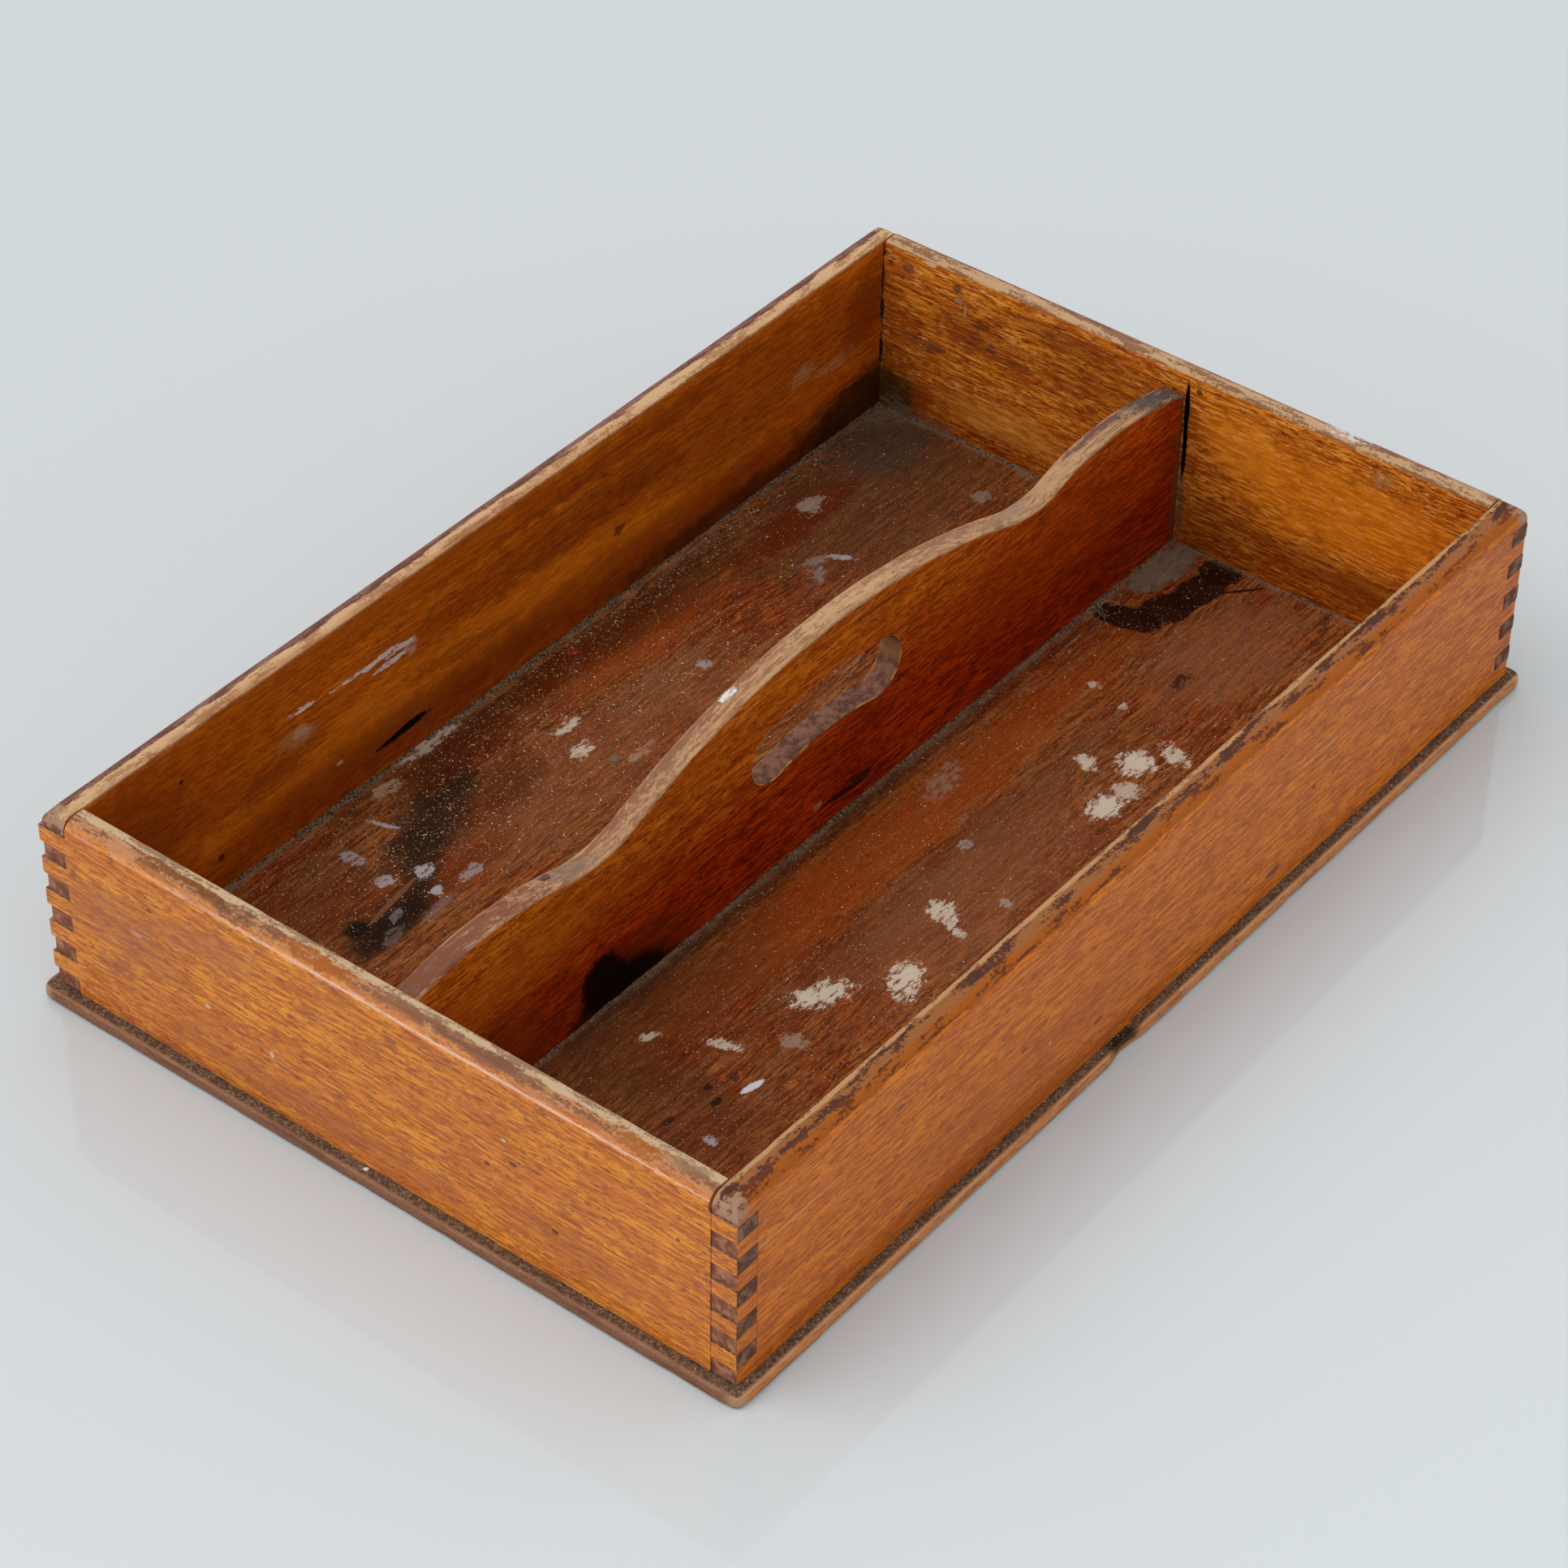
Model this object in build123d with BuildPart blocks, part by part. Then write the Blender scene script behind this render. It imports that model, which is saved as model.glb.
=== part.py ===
"""Antique knife box: a finger jointed tray with a shaped carrying divider.

Frame: origin at the middle of the underside, +X along the length, +Y across the width, +Z up. Millimetres.
Every board stands on the base board, which sticks out all round as a ledge.
"""
import os

from build123d import *

os.makedirs("parts", exist_ok=True)

# ---- Driving dimensions, mm -------------------------------------------------------------------------------

# The four walls
box_length = 412.75  # over the outer faces of the two end boards, 16 1/4 in
box_width = 266.7  # over the outer faces of the two long sides, 10 1/2 in
side_thickness = 9.3  # long side boards
end_thickness = 9.0  # short end boards
top_round = 4.5  # outer edge of the rim, run round the assembled box
arris_round = 1.0  # inner edge of the rim

# The finger joints: long side and end board fingers take turns, and a long side finger (the haunch) is on top
finger_height = 6.35  # every finger and every socket, 1/4 in
side_fingers = 6  # on each end of a long side, its haunch included
end_fingers = 5  # on each end of an end board
finger_proud = 1.2  # end board fingers stand this far out of the long sides
finger_shy = 0.4  # long side fingers stop this far inside the end boards' outer faces
finger_ease = 0.6  # small chamfer round the tip of each proud finger
haunch_gap = 0.8  # slit between a haunch and the top of the end board beside it

# The base board
base_thickness = 5.0
base_ledge = 4.5  # past the walls, all round
base_corner = 4.5  # corner radius seen from above
base_round = 1.8  # upper and lower edge

# The divider, heights above the floor of the compartments
divider_thickness = 8.4
crown_height = 82.55  # middle of the handle, 3 1/4 in
near_dip_height = 60.5  # lowest place of the top edge; the far half was sawn a little shallower
far_dip_height = 62.8
near_shoulder_height = 67.2  # small crest between dip and end
far_shoulder_height = 69.0
divider_end_height = 62.2
near_dip_station = 112.0  # from the middle of the box
far_dip_station = 113.5
near_shoulder_station = 161.0
far_shoulder_station = 151.5
crown_share = 0.845  # part of the run from crown to dip that the crown's arc takes
dip_share = 0.26  # part of the run from dip to shoulder that the dip's arc takes
divider_round = 1.1  # rounding of the top edge
slot_ease = 0.8  # chamfer round the hand slot
slit_width = 1.2  # the divider's far end has shrunk from its board by this much at the top
slit_depth = 38.0  # and the slit closes this far below the divider's top corner

# The hand slot, arched like the crown above it
slot_length = 76.2  # over its round ends, 3 in
slot_height = 22.2  # 7/8 in
slot_arch = 3.3
slot_centre_height = 52.0  # above the floor, at the middle of the slot

# The nails
nail_length = 22.2  # 7/8 in
nail_head_width = 3.2  # square head
nail_head_thickness = 0.8
nail_width = 2.2  # shank under the head, across the taper
nail_point_width = 1.1
nail_thickness = 1.5
nail_sink = 0.3  # heads in the base lie this far above the underside
nail_punched = 1.2  # heads in the end boards lie this deep under the stopping
nail_margin = 36.0  # from a corner of the walls to the first nail
side_nail_count = 4
end_nail_count = 3
divider_nail_count = 3
divider_nail_margin = 60.0  # from an end board to the first nail under the divider
end_nail_height = 57.0  # nail through an end board into the divider, above the floor

# ---- Values that follow from them -------------------------------------------------------------------------

wall_height = (side_fingers + end_fingers) * finger_height
wall_top = base_thickness + wall_height
half_length = box_length / 2
half_width = box_width / 2
inner_half_length = half_length - end_thickness
side_offset = half_width - side_thickness / 2  # middle plane of a long side
end_offset = half_length - end_thickness / 2  # middle plane of an end board

floor_plane = Plane.XY.offset(base_thickness)
nail_plane = Plane.XY.offset(nail_sink)

# Row heights of the joint, from the top: even rows are long side fingers, odd rows are end board fingers
row_heights = [wall_top - (row + 0.5) * finger_height for row in range(side_fingers + end_fingers)]
side_rows = row_heights[0::2]
end_rows = row_heights[1::2]
haunch_row = side_rows[0]


def pitch(span, count):
    """Spacing of a number of nails spread evenly over a span."""
    return span / (count - 1)


side_nail_places = GridLocations(
    pitch(box_length - 2 * nail_margin, side_nail_count), 2 * side_offset, side_nail_count, 2
)
end_nail_places = GridLocations(
    2 * end_offset, pitch(box_width - 2 * nail_margin, end_nail_count), 2, end_nail_count
)
divider_nail_places = GridLocations(
    pitch(2 * (inner_half_length - divider_nail_margin), divider_nail_count), 0, divider_nail_count, 1
)

# ---- Nails ------------------------------------------------------------------------------------------------

# One cut nail, its head's outer face at the origin and its blunt point up +Z. The shank tapers one way only.
with BuildPart() as cut_nail:
    with BuildSketch():
        Rectangle(nail_head_width, nail_head_width)
    extrude(amount=nail_head_thickness)
    with BuildSketch(Plane.XY.offset(nail_head_thickness)):
        Rectangle(nail_width, nail_thickness)
    with BuildSketch(Plane.XY.offset(nail_length)):
        Rectangle(nail_point_width, nail_thickness)
    loft()

with BuildPart(nail_plane) as side_nails:
    with side_nail_places:
        add(cut_nail.part)
side_nails.part.label = "side_nails"

with BuildPart(nail_plane) as end_nails:
    with end_nail_places:
        add(cut_nail.part)
end_nails.part.label = "end_nails"

# Three up through the base, and one through each end board, punched under and stopped
near_nail_head = Plane(
    origin=(nail_punched - half_length, 0, base_thickness + end_nail_height), z_dir=(1, 0, 0)
)
far_nail_head = Plane(
    origin=(half_length - nail_punched, 0, base_thickness + end_nail_height), z_dir=(-1, 0, 0)
)
with BuildPart(nail_plane) as upright_nails:
    with divider_nail_places:
        add(cut_nail.part)
with BuildPart(near_nail_head, far_nail_head) as punched_nails:
    add(cut_nail.part)
with BuildPart() as divider_nails:
    add(upright_nails.part)
    add(punched_nails.part)
divider_nails.part.label = "divider_nails"

# ---- Base board -------------------------------------------------------------------------------------------

with BuildPart() as base_board:
    with BuildSketch():
        RectangleRounded(box_length + 2 * base_ledge, box_width + 2 * base_ledge, base_corner)
    extrude(amount=base_thickness)
    fillet(base_board.faces().filter_by(Axis.Z).edges(), radius=base_round)
    # Shallow recess under each nail head
    with BuildSketch():
        for places in (side_nail_places, end_nail_places, divider_nail_places):
            with places:
                Rectangle(nail_head_width, nail_head_width)
    extrude(amount=nail_sink, mode=Mode.SUBTRACT)
    for nails in (side_nails, end_nails, divider_nails):
        add(nails.part, mode=Mode.SUBTRACT)
base_board.part.label = "base_board"

# ---- Long sides -------------------------------------------------------------------------------------------

with BuildPart() as right_side:
    with BuildSketch(floor_plane):
        with Locations((0, -side_offset)):
            Rectangle(box_length - 2 * finger_shy, side_thickness)
    extrude(amount=wall_height)
    rim = right_side.edges().group_by(Axis.Z)[-1]
    fillet(rim.filter_by(Axis.Y) + rim.sort_by(Axis.Y)[0:1], radius=top_round)
    fillet(right_side.faces().sort_by(Axis.Y)[-1].edges().sort_by(Axis.Z)[-1], radius=arris_round)
    # Sockets for the end boards' fingers
    with BuildSketch(Plane.XZ):
        for height in end_rows:
            with Locations((-half_length, height), (half_length, height)):
                Rectangle(2 * end_thickness, finger_height)
    extrude(amount=box_width, mode=Mode.SUBTRACT)
    add(side_nails.part, mode=Mode.SUBTRACT)
right_side.part.label = "right_side"

with BuildPart() as left_side:
    mirror(right_side.part, about=Plane.XZ)
left_side.part.label = "left_side"

# ---- End boards -------------------------------------------------------------------------------------------

with BuildPart() as near_end:
    with BuildSketch(floor_plane):
        with Locations((-end_offset, 0)):
            Rectangle(end_thickness, box_width + 2 * finger_proud)
    extrude(amount=wall_height)
    rim = near_end.edges().group_by(Axis.Z)[-1].filter_by(Axis.Y).sort_by(Axis.X)
    fillet(rim[0], radius=top_round)
    fillet(near_end.edges().group_by(Axis.Z)[-1].sort_by(Axis.X)[-1], radius=arris_round)
    # Sockets for the long sides' fingers, the top one wider by the slit beside the haunch
    with BuildSketch(Plane.YZ):
        for height in side_rows:
            with Locations((-half_width, height), (half_width, height)):
                Rectangle(2 * side_thickness, finger_height)
        with Locations((-half_width, haunch_row), (half_width, haunch_row)):
            Rectangle(2 * (side_thickness + haunch_gap), finger_height)
    extrude(amount=-box_length, mode=Mode.SUBTRACT)
    tips = near_end.faces().filter_by(Axis.Y).group_by(Axis.Y)
    chamfer(tips[0].edges() + tips[-1].edges(), length=finger_ease)
    add(end_nails.part, mode=Mode.SUBTRACT)
    add(divider_nails.part, mode=Mode.SUBTRACT)
near_end.part.label = "near_end"

with BuildPart() as far_end:
    mirror(near_end.part, about=Plane.YZ)
far_end.part.label = "far_end"

# ---- Divider ----------------------------------------------------------------------------------------------

# The top edge is one line of arcs that run into each other: crown, dip, shoulder. Two arcs that are level at
# their outer ends meet without a kink anywhere on the straight line between those ends.
crown = Vector(0, crown_height)
near_half = (
    Vector(-1, 0),
    Vector(-near_dip_station, near_dip_height),
    Vector(-near_shoulder_station, near_shoulder_height),
)
far_half = (
    Vector(1, 0),
    Vector(far_dip_station, far_dip_height),
    Vector(far_shoulder_station, far_shoulder_height),
)

divider_face = Plane(origin=(0, -divider_thickness / 2, base_thickness), x_dir=(1, 0, 0), z_dir=(0, -1, 0))
slot_half_span = (slot_length - slot_height) / 2
slit_foot = divider_end_height - slit_depth
slit_slope = slit_width / slit_depth

with BuildPart() as divider:
    with BuildSketch(divider_face):
        with BuildLine():
            for outward, dip, shoulder in (near_half, far_half):
                crown_meets_dip = crown + (dip - crown) * crown_share
                dip_meets_shoulder = dip + (shoulder - dip) * dip_share
                foot_corner = outward * inner_half_length
                top_corner = foot_corner + Vector(0, divider_end_height)
                crown_arc = TangentArc(crown, crown_meets_dip, tangent=outward)
                TangentArc(crown_meets_dip, dip, tangent=crown_arc % 1)
                dip_arc = TangentArc(dip, dip_meets_shoulder, tangent=outward)
                TangentArc(dip_meets_shoulder, shoulder, tangent=dip_arc % 1)
                TangentArc(shoulder, top_corner, tangent=outward)
                Polyline(top_corner, foot_corner, (0, 0))
        make_face()
        # The slit at the far end, a wedge that runs on past the top edge
        with BuildLine():
            Polyline(
                (inner_half_length, slit_foot),
                (inner_half_length, crown_height),
                (inner_half_length - slit_slope * (crown_height - slit_foot), crown_height),
                close=True,
            )
        make_face(mode=Mode.SUBTRACT)
        # The hand slot
        with BuildLine(mode=Mode.PRIVATE) as slot_middle:
            ThreePointArc(
                (-slot_half_span, slot_centre_height - slot_arch),
                (0, slot_centre_height),
                (slot_half_span, slot_centre_height - slot_arch),
            )
        SlotArc(slot_middle.edge(), slot_height, mode=Mode.SUBTRACT)
    extrude(amount=-divider_thickness)
    faces = divider.faces().filter_by(Axis.Y)
    slot_edges = ShapeList(edge for face in faces for wire in face.inner_wires() for edge in wire.edges())
    top_edges = faces.edges().filter_by(GeomType.CIRCLE) - slot_edges
    chamfer(slot_edges, length=slot_ease)
    fillet(top_edges, radius=divider_round)
    add(divider_nails.part, mode=Mode.SUBTRACT)
divider.part.label = "divider"

# ---- Files ------------------------------------------------------------------------------------------------

export_step(near_end.part, "parts/near_end.step")
export_step(far_end.part, "parts/far_end.step")
export_step(left_side.part, "parts/left_side.step")
export_step(right_side.part, "parts/right_side.step")
export_step(divider.part, "parts/divider.step")
export_step(base_board.part, "parts/base_board.step")
export_step(side_nails.part, "parts/side_nails.step")
export_step(end_nails.part, "parts/end_nails.step")
export_step(divider_nails.part, "parts/divider_nails.step")
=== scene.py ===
"""The looks of an antique knife box: aged boards, worn rims, stains, grit and sawdust on a fixed CAD frame.

Metres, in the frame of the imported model: +X along the box, away from the near end board, +Y towards the left
long side, +Z up, with the underside on Z = 0. Fields and marks that are given in millimetres say so.
"""
from __future__ import annotations

import logging
import math
import random
from dataclasses import dataclass
from enum import Enum
from typing import Callable, Iterable, Sequence

import bmesh
import bpy
from mathutils import Matrix, Vector, noise

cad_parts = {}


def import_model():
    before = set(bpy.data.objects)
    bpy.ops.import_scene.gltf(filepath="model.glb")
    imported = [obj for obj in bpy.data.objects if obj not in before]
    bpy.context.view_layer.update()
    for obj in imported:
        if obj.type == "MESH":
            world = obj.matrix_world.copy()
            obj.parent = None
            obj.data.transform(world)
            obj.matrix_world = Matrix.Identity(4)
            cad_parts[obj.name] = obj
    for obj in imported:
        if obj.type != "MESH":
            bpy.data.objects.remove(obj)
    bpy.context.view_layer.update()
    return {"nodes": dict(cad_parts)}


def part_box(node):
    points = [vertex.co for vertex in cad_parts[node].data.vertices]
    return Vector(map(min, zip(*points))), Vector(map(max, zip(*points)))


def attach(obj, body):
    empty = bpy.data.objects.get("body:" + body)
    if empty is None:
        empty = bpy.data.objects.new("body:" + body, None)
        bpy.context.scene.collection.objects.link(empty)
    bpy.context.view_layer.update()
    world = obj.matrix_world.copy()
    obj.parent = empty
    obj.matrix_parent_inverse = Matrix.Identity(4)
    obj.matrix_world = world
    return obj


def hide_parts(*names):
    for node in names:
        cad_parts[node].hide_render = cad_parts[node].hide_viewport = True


LOG = logging.getLogger("knife_box")
MM = 0.001
BARE_GLOSS = 0.055  # specular level of wood under its varnish coat
NAIL_NODES = ("side_nails", "end_nails", "divider_nails")
Colour = tuple[float, float, float]
Point = tuple[float, float, float]
Socket = bpy.types.NodeSocket
Tree = bpy.types.NodeTree
Material = bpy.types.Material
Piece = bpy.types.Object
Mesh = bmesh.types.BMesh


class Axis(Enum):
    """The direction in which a board's grain runs."""

    LENGTH = 0
    WIDTH = 1


@dataclass(frozen=True)
class Layout:
    """Main planes of the box, read from the CAD nodes."""

    floor: float  # top of the base board
    rim: float  # top of the walls
    outer_x: float  # outer faces of the end boards
    inner_x: float
    outer_y: float  # outer faces of the long sides
    inner_y: float
    base_x: float  # edges of the base board
    base_y: float
    shy: float  # long side fingers short of the end boards
    divider_half: float  # half the divider's thickness
    crown: float  # top of the divider
    rows: int = 11  # of fingers

    @classmethod
    def from_frame(cls) -> "Layout":
        """Reads the planes from the CAD nodes' boxes.

        Returns:
            The layout, in metres.
        """
        end_low, end_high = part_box("near_end")
        side_low, side_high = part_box("right_side")
        _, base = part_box("base_board")
        _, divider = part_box("divider")
        return cls(
            floor=base.z,
            rim=end_high.z,
            outer_x=-end_low.x,
            inner_x=-end_high.x,
            outer_y=-side_low.y,
            inner_y=-side_high.y,
            base_x=base.x,
            base_y=base.y,
            shy=-end_low.x - side_high.x,
            divider_half=divider.y,
            crown=divider.z,
        )

    @property
    def finger(self) -> float:
        """Height of a finger."""
        return (self.rim - self.floor) / self.rows


# ---- Shader graphs ----------------------------------------------------------------------------------------


class Graph:
    """A node tree in the making. Each method adds what it names and gives back its output."""

    def __init__(self, tree: Tree) -> None:
        """Keeps the tree that the nodes go into."""
        self.tree = tree

    def node(self, kind: str, inputs: dict | None = None, **settings: object) -> bpy.types.Node:
        """Adds a node.

        Args:
            kind: The node's type name, which leaves out ShaderNode.
            inputs: Values or sockets by input name or number.
            settings: Properties of the node.

        Returns:
            The new node.
        """
        node = self.tree.nodes.new(kind if kind.startswith("NodeGroup") else f"ShaderNode{kind}")
        for name, value in settings.items():
            setattr(node, name, value)
        for name, value in (inputs or {}).items():
            self.feed(node.inputs[name], value)
        return node

    def feed(self, socket: Socket, value: object) -> None:
        """Links or sets one input.

        Args:
            socket: The input.
            value: Another node's output, or a plain value.
        """
        if isinstance(value, Socket):
            self.tree.links.new(value, socket)
        else:
            socket.default_value = (*value, 1.0) if socket.type == "RGBA" else value

    def math(self, operation: str, *values: object, clamp: bool = False) -> Socket:
        """Adds a Math node, with its inputs in order."""
        return self.node("Math", dict(enumerate(values)), operation=operation, use_clamp=clamp).outputs[0]

    def times(self, first: object, second: object) -> Socket:
        """Multiplies two values."""
        return self.math("MULTIPLY", first, second)

    def plus(self, first: object, second: object, clamp: bool = False) -> Socket:
        """Adds two values, and may keep the sum between 0 and 1."""
        return self.math("ADD", first, second, clamp=clamp)

    def minus(self, first: object, second: object) -> Socket:
        """Subtracts the second value from the first."""
        return self.math("SUBTRACT", first, second)

    def size(self, value: Socket) -> Socket:
        """Drops a value's sign."""
        return self.math("ABSOLUTE", value)

    def mix(self, factor: object, first: object, second: object, blend: str = "MIX") -> Socket:
        """Adds a colour mix: the factor is the share of the second colour."""
        inputs = {0: factor, 6: first, 7: second}
        return self.node("Mix", inputs, data_type="RGBA", blend_type=blend).outputs[2]

    def cover(self, colour: Socket, mask: object, share: object, other: object, blend: str = "MIX") -> Socket:
        """Lays another colour over a colour, as strong as a mask times a share."""
        return self.mix(self.times(mask, share), colour, other, blend)

    def step(self, value: object, low: object, high: object) -> Socket:
        """Adds a smooth step, a mask that is 0 at the low value and 1 at the high one."""
        ends = {"Value": value, "From Min": low, "From Max": high}
        return self.node("MapRange", ends, interpolation_type="SMOOTHSTEP").outputs[0]

    def place(
        self, vector: Socket, scale: Point = (1, 1, 1), shift: Point = (0, 0, 0), turn: float = 0.0
    ) -> Socket:
        """Adds a point mapping: scale first, then a turn about Z in radians, then a shift."""
        inputs = {"Vector": vector, "Scale": scale, "Location": shift, "Rotation": (0, 0, turn)}
        return self.node("Mapping", inputs).outputs[0]

    def noise(self, vector: Socket, scale: float, detail: float = 3.0, roughness: float = 0.6) -> Socket:
        """Adds a noise around 0.5, with a scale in lumps per metre."""
        inputs = {"Vector": vector, "Scale": scale, "Detail": detail, "Roughness": roughness}
        return self.node("TexNoise", inputs).outputs[0]

    def drawn(
        self,
        vector: Socket,
        scales: Point,
        detail: float = 4.0,
        roughness: float = 0.65,
        shift: Point = (0, 0, 0),
    ) -> Socket:
        """Adds a noise with its own scale along each axis, such as one drawn out along the grain."""
        return self.noise(self.place(vector, scales, shift), 1.0, detail, roughness)

    def split(self, vector: Socket) -> Sequence[Socket]:
        """Splits coordinates into X, Y and Z."""
        return self.node("SeparateXYZ", {0: vector}).outputs

    def group(self, tree: Tree, **inputs: object) -> Sequence[Socket]:
        """Places a node group and gives all its outputs."""
        return self.node("Group", inputs, node_tree=tree).outputs


def new_group(name: str, inputs: dict[str, str], outputs: Iterable[str]) -> tuple[Graph, dict, dict]:
    """Starts a shader node group.

    Args:
        name: The group's name.
        inputs: Kind of each input, by name.
        outputs: Names of the outputs, which are values.

    Returns:
        The graph, the inputs' sockets inside it, and the outputs' sockets inside it.
    """
    tree = bpy.data.node_groups.new(name, "ShaderNodeTree")
    for way, sockets in (("INPUT", inputs), ("OUTPUT", dict.fromkeys(outputs, "Float"))):
        for label, kind in sockets.items():
            tree.interface.new_socket(label, in_out=way, socket_type=f"NodeSocket{kind}")
    graph = Graph(tree)
    entry, leave = graph.node("NodeGroupInput"), graph.node("NodeGroupOutput")
    return graph, {s.name: s for s in entry.outputs if s.name}, {s.name: s for s in leave.inputs if s.name}


class Effects:
    """Node groups that more than one finish uses."""

    def __init__(self) -> None:
        """Builds each group once."""
        self.grain, self.blot = self._grain(), self._blot()
        self.speck, self.zone = self._speck(), self._zone()

    def _grain(self) -> Tree:
        """Builds beech grain for coordinates whose X runs along the grain.

        Returns:
            A group with masks for grain lines, clouds, patches, bright streaks and pores, and a height.
        """
        masks = ("Line", "Cloud", "Patch", "Gleam", "Pore")
        graph, given, made = new_group("Beech grain", {"Vector": "Vector"}, (*masks, "Height"))
        drift = graph.drawn(given["Vector"], (11, 30, 30), 2.0, 0.55)
        shift = graph.node("CombineXYZ", {1: graph.times(drift, 0.012)}).outputs[0]
        bent = graph.node("VectorMath", {0: given["Vector"], 1: shift}, operation="ADD").outputs[0]
        line = graph.drawn(bent, (70, 850, 850), 5.0, 0.7)
        cloud = graph.drawn(bent, (24, 85, 85), 4.0, 0.65, (3.1, 1.7, 0.4))
        patch = graph.drawn(bent, (80, 340, 340), 5.0, 0.75, (5.2, 0.7, 3.4))
        gleam = graph.drawn(bent, (125, 980, 980), 4.0, 0.75, (1.9, 4.4, 8.1))
        pore = graph.drawn(bent, (230, 1400, 1400), 3.0, 0.65, (7.3, 2.9, 5.5))
        borders = ((0.45, 0.55), (0.42, 0.6), (0.53, 0.61), (0.54, 0.64), (0.545, 0.615))
        for mask, value, (low, high) in zip(masks, (line, cloud, patch, gleam, pore), borders):
            graph.feed(made[mask], graph.step(value, low, high))
        graph.feed(made["Height"], graph.minus(line, graph.times(pore, 0.6)))
        return graph.tree

    def _blot(self) -> Tree:
        """Builds the mask of one stain: a turned ellipsoid with a ragged edge.

        Returns:
            The group.
        """
        kinds = dict.fromkeys(("Vector", "Centre", "Turn", "Reach"), "Vector")
        kinds |= dict.fromkeys(("Ragged", "Soft", "Noise"), "Float")
        graph, given, made = new_group("Blot", kinds, ("Mask",))
        ends = {"Location": given["Centre"], "Rotation": given["Turn"], "Scale": given["Reach"]}
        local = graph.node("Mapping", {"Vector": given["Vector"], **ends}, vector_type="TEXTURE").outputs[0]
        distance = graph.node("VectorMath", {0: local}, operation="LENGTH").outputs[1]
        edge = graph.plus(distance, graph.times(graph.minus(given["Noise"], 0.5), given["Ragged"]))
        soft = given["Soft"]
        graph.feed(made["Mask"], graph.step(edge, graph.plus(1.0, soft), graph.minus(1.0, soft)))
        return graph.tree

    def _speck(self) -> Tree:
        """Builds scattered round specks of varying size.

        Returns:
            The group.
        """
        kinds = {"Vector": "Vector", "Scale": "Float", "Size": "Float", "Amount": "Float"}
        graph, given, made = new_group("Specks", kinds, ("Mask",))
        cells = graph.node("TexVoronoi", {"Vector": given["Vector"], "Scale": given["Scale"]}).outputs
        chance = graph.node("SeparateColor", {0: cells["Color"]}).outputs
        radius = graph.times(given["Size"], graph.plus(0.3, chance[1]))
        shape = graph.step(cells["Distance"], radius, graph.times(radius, 0.5))
        graph.feed(made["Mask"], graph.times(shape, graph.math("LESS_THAN", chance[0], given["Amount"])))
        return graph.tree

    def _zone(self) -> Tree:
        """Builds a worn zone: 1 up to a distance, 0 past it, with a wavering border.

        Returns:
            The group.
        """
        kinds = dict.fromkeys(("Distance", "Border", "Soft", "Waver", "Noise"), "Float")
        graph, given, made = new_group("Worn zone", kinds, ("Mask",))
        waver = graph.times(graph.minus(given["Noise"], 0.5), given["Waver"])
        distance = graph.plus(given["Distance"], waver)
        border, soft = given["Border"], given["Soft"]
        graph.feed(made["Mask"], graph.step(distance, graph.plus(border, soft), graph.minus(border, soft)))
        return graph.tree


# ---- Marks ------------------------------------------------------------------------------------------------


class Outline(Enum):
    """The edge of a mark: how ragged it is in shares of its reach, and how soft."""

    SOAKED = (1.3, 0.45)
    CRISP = (0.9, 0.18)
    SPLASHED = (4.2, 0.16)
    CLEAN = (0.5, 0.07)


@dataclass(frozen=True)
class Mark:
    """A stain, scratch or paint splash, in millimetres; some marks are painted highlights, glints and shade.

    Its reach is half its size along each axis, before its turn about the axis that is named.
    """

    centre: Point
    reach: Point
    colour: Colour
    strength: float = 0.9
    turn: float = 0.0  # degrees
    outline: Outline = Outline.CRISP
    axis: int = 2


@dataclass(frozen=True)
class Face:
    """A face of the box that marks lie on, in millimetres."""

    axis: int  # square to the face
    level: float  # where the face stands along that axis
    depth: float = 3.0  # how deep a mark reaches

    def marks(self, outline: Outline, *rows: tuple) -> tuple[Mark, ...]:
        """Places marks that share one kind of edge.

        Args:
            outline: The edge.
            rows: For each mark its place and its reach along the face's two axes, its colour, its strength
                and, where it is turned, its turn in degrees.

        Returns:
            The marks.
        """
        marks = []
        for *numbers, colour, strength, turn in (row if len(row) == 7 else (*row, 0.0) for row in rows):
            centre, reach = numbers[:2], numbers[2:]
            centre.insert(self.axis, self.level)
            reach.insert(self.axis, self.depth)
            marks.append(Mark(tuple(centre), tuple(reach), colour, strength, turn, outline, self.axis))
        return tuple(marks)


# ---- Materials --------------------------------------------------------------------------------------------


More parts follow.
